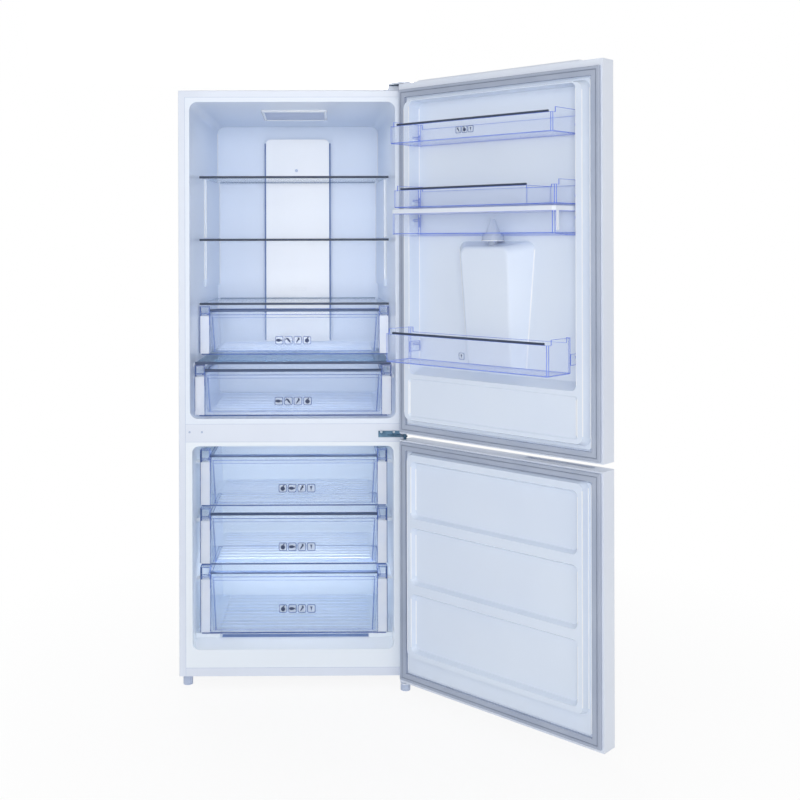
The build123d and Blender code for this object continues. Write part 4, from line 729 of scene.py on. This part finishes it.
def add_lamp_lens():
    """Ribbed lens inside the ceiling lamp's rim, tilted with the ceiling."""
    low, high = limits("ceiling_lamp")
    rim, seat, thick = 8 * MM, 4 * MM, 0.9 * MM
    ribs, rib_height = 24, 0.35 * MM
    drop, length = high.z - low.z - seat, high.y - low.y
    x = (low.x + rim, high.x - rim)
    lens = bmesh.new()
    rows = []
    for i in range(ribs + 1):
        t = rim / length + (1 - 2 * rim / length) * i / ribs
        y = low.y + length * t
        z = high.z - seat - drop * t + (rib_height if i % 2 else 0.0)
        corners = ((x[0], y, z), (x[1], y, z), (x[1], y, z + thick), (x[0], y, z + thick))
        rows.append([lens.verts.new(corner) for corner in corners])
    skin_rows(lens, rows)
    add_piece("lamp_lens", to_mesh(lens), "cabinet", "lens")
    add_piece("lamp_rim", edge_mesh("ceiling_lamp", 3.0 * MM), "cabinet", "white_rim_and_highlight")


def add_freezer_floor_shadow():
    """Painted shadow: a dark strip on the front of the freezer floor, between the strips that carry the
    bottom drawer, where the gap under the drawer lies in shade.
    """
    floor = surface("freezer_liner")
    under = limits("freezer_drawer_bottom")[0].z - 4 * MM
    x = (CAB_MIDDLE - 225 * MM, CAB_MIDDLE + 235 * MM)
    y = (FRONT + 66 * MM, FRONT + 92 * MM)
    z = max(floor.ray_cast(Vector((CAB_MIDDLE, depth, under)), Vector((0, 0, -1)))[0].z
            for depth in y)
    strip = [((x[0], y[0], z - 0.3 * MM), (x[1], y[1], z + 0.4 * MM))]
    add_piece("freezer_floor_painted_shadow", slabs_mesh(strip), "cabinet", "painted_shadow")


def add_column_highlights():
    """Painted highlights: bright lines along the edges of the raised columns on the fridge's side walls."""
    def column(start, end):
        return abs(end.z - start.z) > 0.12 and start.y > FRONT + 0.2

    mesh = edge_mesh("fridge_liner", 2.2 * MM, column, math.radians(12))
    add_piece("column_painted_highlights", mesh, "cabinet", "white_rim_and_highlight")


# --- door details ----------------------------------------------------------------------------
DOORS = ("upper_door", "lower_door")


def add_gasket_groove_shade():
    """Painted shade: a darker strip along the groove of each door gasket."""
    inset, width = 8.2 * MM, 2.6 * MM
    for door in DOORS:
        low, high = limits(f"{door}_gasket", OPEN)
        y = (high.y - 1.6 * MM, high.y - 0.7 * MM)
        bars = frame_boxes((low.x + inset, high.x - inset), y, (low.z + inset, high.z - inset),
                           width)
        add_piece(f"{door}_gasket_groove_shade", slabs_mesh(bars), door, "gasket_groove_shade", OPEN)


def add_recess_highlights():
    """Painted highlights: bright lines along the upright edges of the mouldings on both doors' inner faces.
    """
    def upright(start, end):
        return abs(end.z - start.z) > 0.08

    for door in DOORS:
        mesh = edge_mesh(f"{door}_liner", 2.0 * MM, upright, math.radians(20))
        add_piece(f"{door}_beads", mesh, door, "white_rim_and_highlight")


def add_valve_ring():
    """White rim and blue teeth round the foot of the tank's valve."""
    low, high = limits("tank_valve", OPEN)
    centre = Vector(((low.x + high.x) / 2, (low.y + high.y) / 2, 0))
    radius = (high.x - low.x) / 2
    foot = min(point.z for point in shut_points("tank_valve", OPEN)
               if (point - centre).xy.length > radius - 0.5 * MM)

    steps, around, tube = 40, 8, 1.3 * MM
    ring = bmesh.new()
    rows = []
    for i in range(steps):
        t = 2 * math.pi * i / steps
        row = []
        for j in range(around):
            u = 2 * math.pi * j / around
            reach = radius + tube * math.cos(u)
            offset = Vector((reach * math.cos(t), reach * math.sin(t), foot + tube * math.sin(u)))
            row.append(ring.verts.new(centre + offset))
        rows.append(row)
    for one, two in zip(rows, rows[1:] + rows[:1]):
        join_loops(ring, one, two)
    add_piece("valve_ring", to_mesh(ring), "upper_door", "white_rim_and_highlight", OPEN)

    count = 12
    out = Matrix.Translation((radius - 4 * MM, 0, foot - 0.9 * MM))
    size = Matrix.Diagonal((4 * MM, 5 * MM, 2 * MM, 1))
    teeth = bmesh.new()
    for i in range(count):
        turn = Matrix.Rotation(2 * math.pi * (i + 0.5) / count, 4, "Z")
        add_block(teeth, Matrix.Translation(centre) @ turn @ out @ size, 0.4 * MM, 1)
    add_piece("valve_teeth", to_mesh(teeth), "upper_door", "bin_edge", OPEN)


add_drawer_posts()
add_drawer_edges()
add_bin_edges()
add_glass_edges()
add_drawer_plates()
add_cabinet_seams()
add_hinge_screws()
add_rear_screws()
add_duct_details()
add_lamp_lens()
add_freezer_floor_shadow()
add_column_highlights()
add_gasket_groove_shade()
add_recess_highlights()
add_valve_ring()
add_bin_plates()


# --- camera, floor and light -----------------------------------------------------------------
PHOTO_SIZE = 800.0                # pixels
PHOTO_FOCAL = 1112.81             # pixels
PHOTO_CENTRE = (340.2, 239.9)     # where the camera points straight ahead, in pixels
SENSOR = 36.0
CAMERA_PLACE = (-0.2181, -3.3904, 1.3702)
CAMERA_YAW, CAMERA_ROLL = -0.0066, -0.0024

FLOOR_REACH = 14.0
FADE_LEAST, FADE_NEAR, FADE_FAR = 0.88, 0.5, 1.7    # white share near by, and metres
WORLD_LEVEL, WHITE = 0.48, 1.0

# Name, place, target, size and watts.
STUDIO_LAMPS = [("front", (-0.25, -4.4, 1.5), (-0.25, 0.0, 1.0), (1.8, 2.2), 46),
                ("key", (-2.4, -3.4, 3.0), (-0.2, 0.0, 1.4), (2.0, 2.0), 20),
                ("fill", (2.2, -3.8, 1.6), (0.0, 0.0, 0.9), (2.2, 2.4), 19),
                ("rear", (-0.8, 3.2, 3.0), (-0.3, 0.4, 1.0), (2.4, 1.6), 44)]
# Name, the drawer that it hangs over, and watts.
DRAWER_LAMPS = [("freezer", "freezer_drawer_top", 0.26),
                ("crisper_lamp", "upper_crisper", 0.18),
                ("crisper_low_lamp", "lower_crisper", 0.27),
                ("drawer_lamp", "freezer_drawer_bottom", 0.46)]


def make_camera():
    data = bpy.data.cameras.new("camera")
    data.sensor_width = SENSOR
    data.lens = PHOTO_FOCAL * SENSOR / PHOTO_SIZE
    data.shift_x = 0.5 - PHOTO_CENTRE[0] / PHOTO_SIZE
    data.shift_y = PHOTO_CENTRE[1] / PHOTO_SIZE - 0.5
    camera = bpy.data.objects.new("camera", data)
    camera.location = CAMERA_PLACE
    turn = Matrix.Rotation(CAMERA_YAW, 4, "Z") @ Matrix.Rotation(math.pi / 2, 4, "X") \
        @ Matrix.Rotation(CAMERA_ROLL, 4, "Z")
    camera.rotation_euler = turn.to_euler()
    bpy.context.scene.collection.objects.link(camera)
    bpy.context.scene.camera = camera


def seen_directly(tree):
    """1 on camera, glossy and transmission rays, else 0."""
    paths = tree.nodes.new("ShaderNodeLightPath")
    total = paths.outputs["Is Camera Ray"]
    for ray in ("Is Glossy Ray", "Is Transmission Ray"):
        larger = tree.nodes.new("ShaderNodeMath")
        larger.operation = "MAXIMUM"
        tree.links.new(total, larger.inputs[0])
        tree.links.new(paths.outputs[ray], larger.inputs[1])
        total = larger.outputs[0]
    return total


def make_floor():
    """Pale floor that keeps the shadow near the object and fades to white away from it."""
    shader = Shader("floor", (250, 250, 251), 0.9).vary((249, 249, 250), (251, 251, 252), 0.7)
    glow = shader.node("ShaderNodeEmission")
    distance = shader.node("ShaderNodeVectorMath", operation="LENGTH")
    shader.link(shader.place(), distance.inputs[0])
    fade = shader.spread(distance.outputs["Value"], FADE_LEAST, WHITE, FADE_NEAR, FADE_FAR)
    blend = shader.node("ShaderNodeMixShader")
    shader.link(shader.combine("MULTIPLY", seen_directly(shader.tree), fade), blend.inputs[0])
    shader.link(shader.surface.outputs[0], blend.inputs[1])
    shader.link(glow.outputs[0], blend.inputs[2])
    output = shader.tree.nodes["Material Output"]
    shader.link(blend.outputs[0], output.inputs["Surface"])

    mesh = bpy.data.meshes.new("floor")
    corners = [(x * FLOOR_REACH, y * FLOOR_REACH, 0)
               for x, y in ((-1, -1), (1, -1), (1, 1), (-1, 1))]
    mesh.from_pydata(corners, [], [(0, 1, 2, 3)])
    mesh.materials.append(shader.material)
    floor = bpy.data.objects.new("floor", mesh)
    bpy.context.scene.collection.objects.link(floor)


def make_world():
    """World that looks white and lights the object at a lower level."""
    world = bpy.data.worlds.new("studio")
    bpy.context.scene.world = world
    world.use_nodes = True
    tree = world.node_tree
    background = tree.nodes["Background"]
    background.inputs["Color"].default_value = (1, 1, 1, 1)
    level = tree.nodes.new("ShaderNodeMapRange")
    level.inputs["To Min"].default_value = WORLD_LEVEL
    level.inputs["To Max"].default_value = WHITE
    tree.links.new(seen_directly(tree), level.inputs["Value"])
    tree.links.new(level.outputs["Result"], background.inputs["Strength"])


def make_lamp(name, place, target, size, power, seen=True):
    data = bpy.data.lights.new(name, "AREA")
    data.shape = "RECTANGLE"
    data.size, data.size_y = size
    data.energy = power
    lamp = bpy.data.objects.new(name, data)
    lamp.location = place
    lamp.rotation_euler = (Vector(target) - Vector(place)).to_track_quat("-Z", "Y").to_euler()
    lamp.visible_camera = seen
    lamp.visible_glossy = seen
    bpy.context.scene.collection.objects.link(lamp)


def make_lights():
    """Studio lamps, the lamp in the ceiling, and weak ones that stand for light in the drawers."""
    for lamp in STUDIO_LAMPS:
        make_lamp(*lamp)
    low, high = limits("ceiling_lamp")
    make_lamp("fridge", (CAB_MIDDLE, low.y, low.z - 8 * MM), (CAB_MIDDLE, high.y + 0.1, 1.0),
              (0.42, 0.1), 0.15, seen=False)
    for name, node, power in DRAWER_LAMPS:
        z = limits(node)[1].z + 2 * MM
        make_lamp(name, (CAB_MIDDLE, FRONT + 0.06, z), (CAB_MIDDLE, FRONT + 0.39, z - 0.2),
                  (0.5, 0.02), power, seen=False)


make_camera()
make_floor()
make_world()
make_lights()
bpy.context.scene.view_settings.view_transform = "Standard"
# Light crosses more clear walls here than Cycles lets through by itself.
bpy.context.scene.cycles.transparent_max_bounces = 40
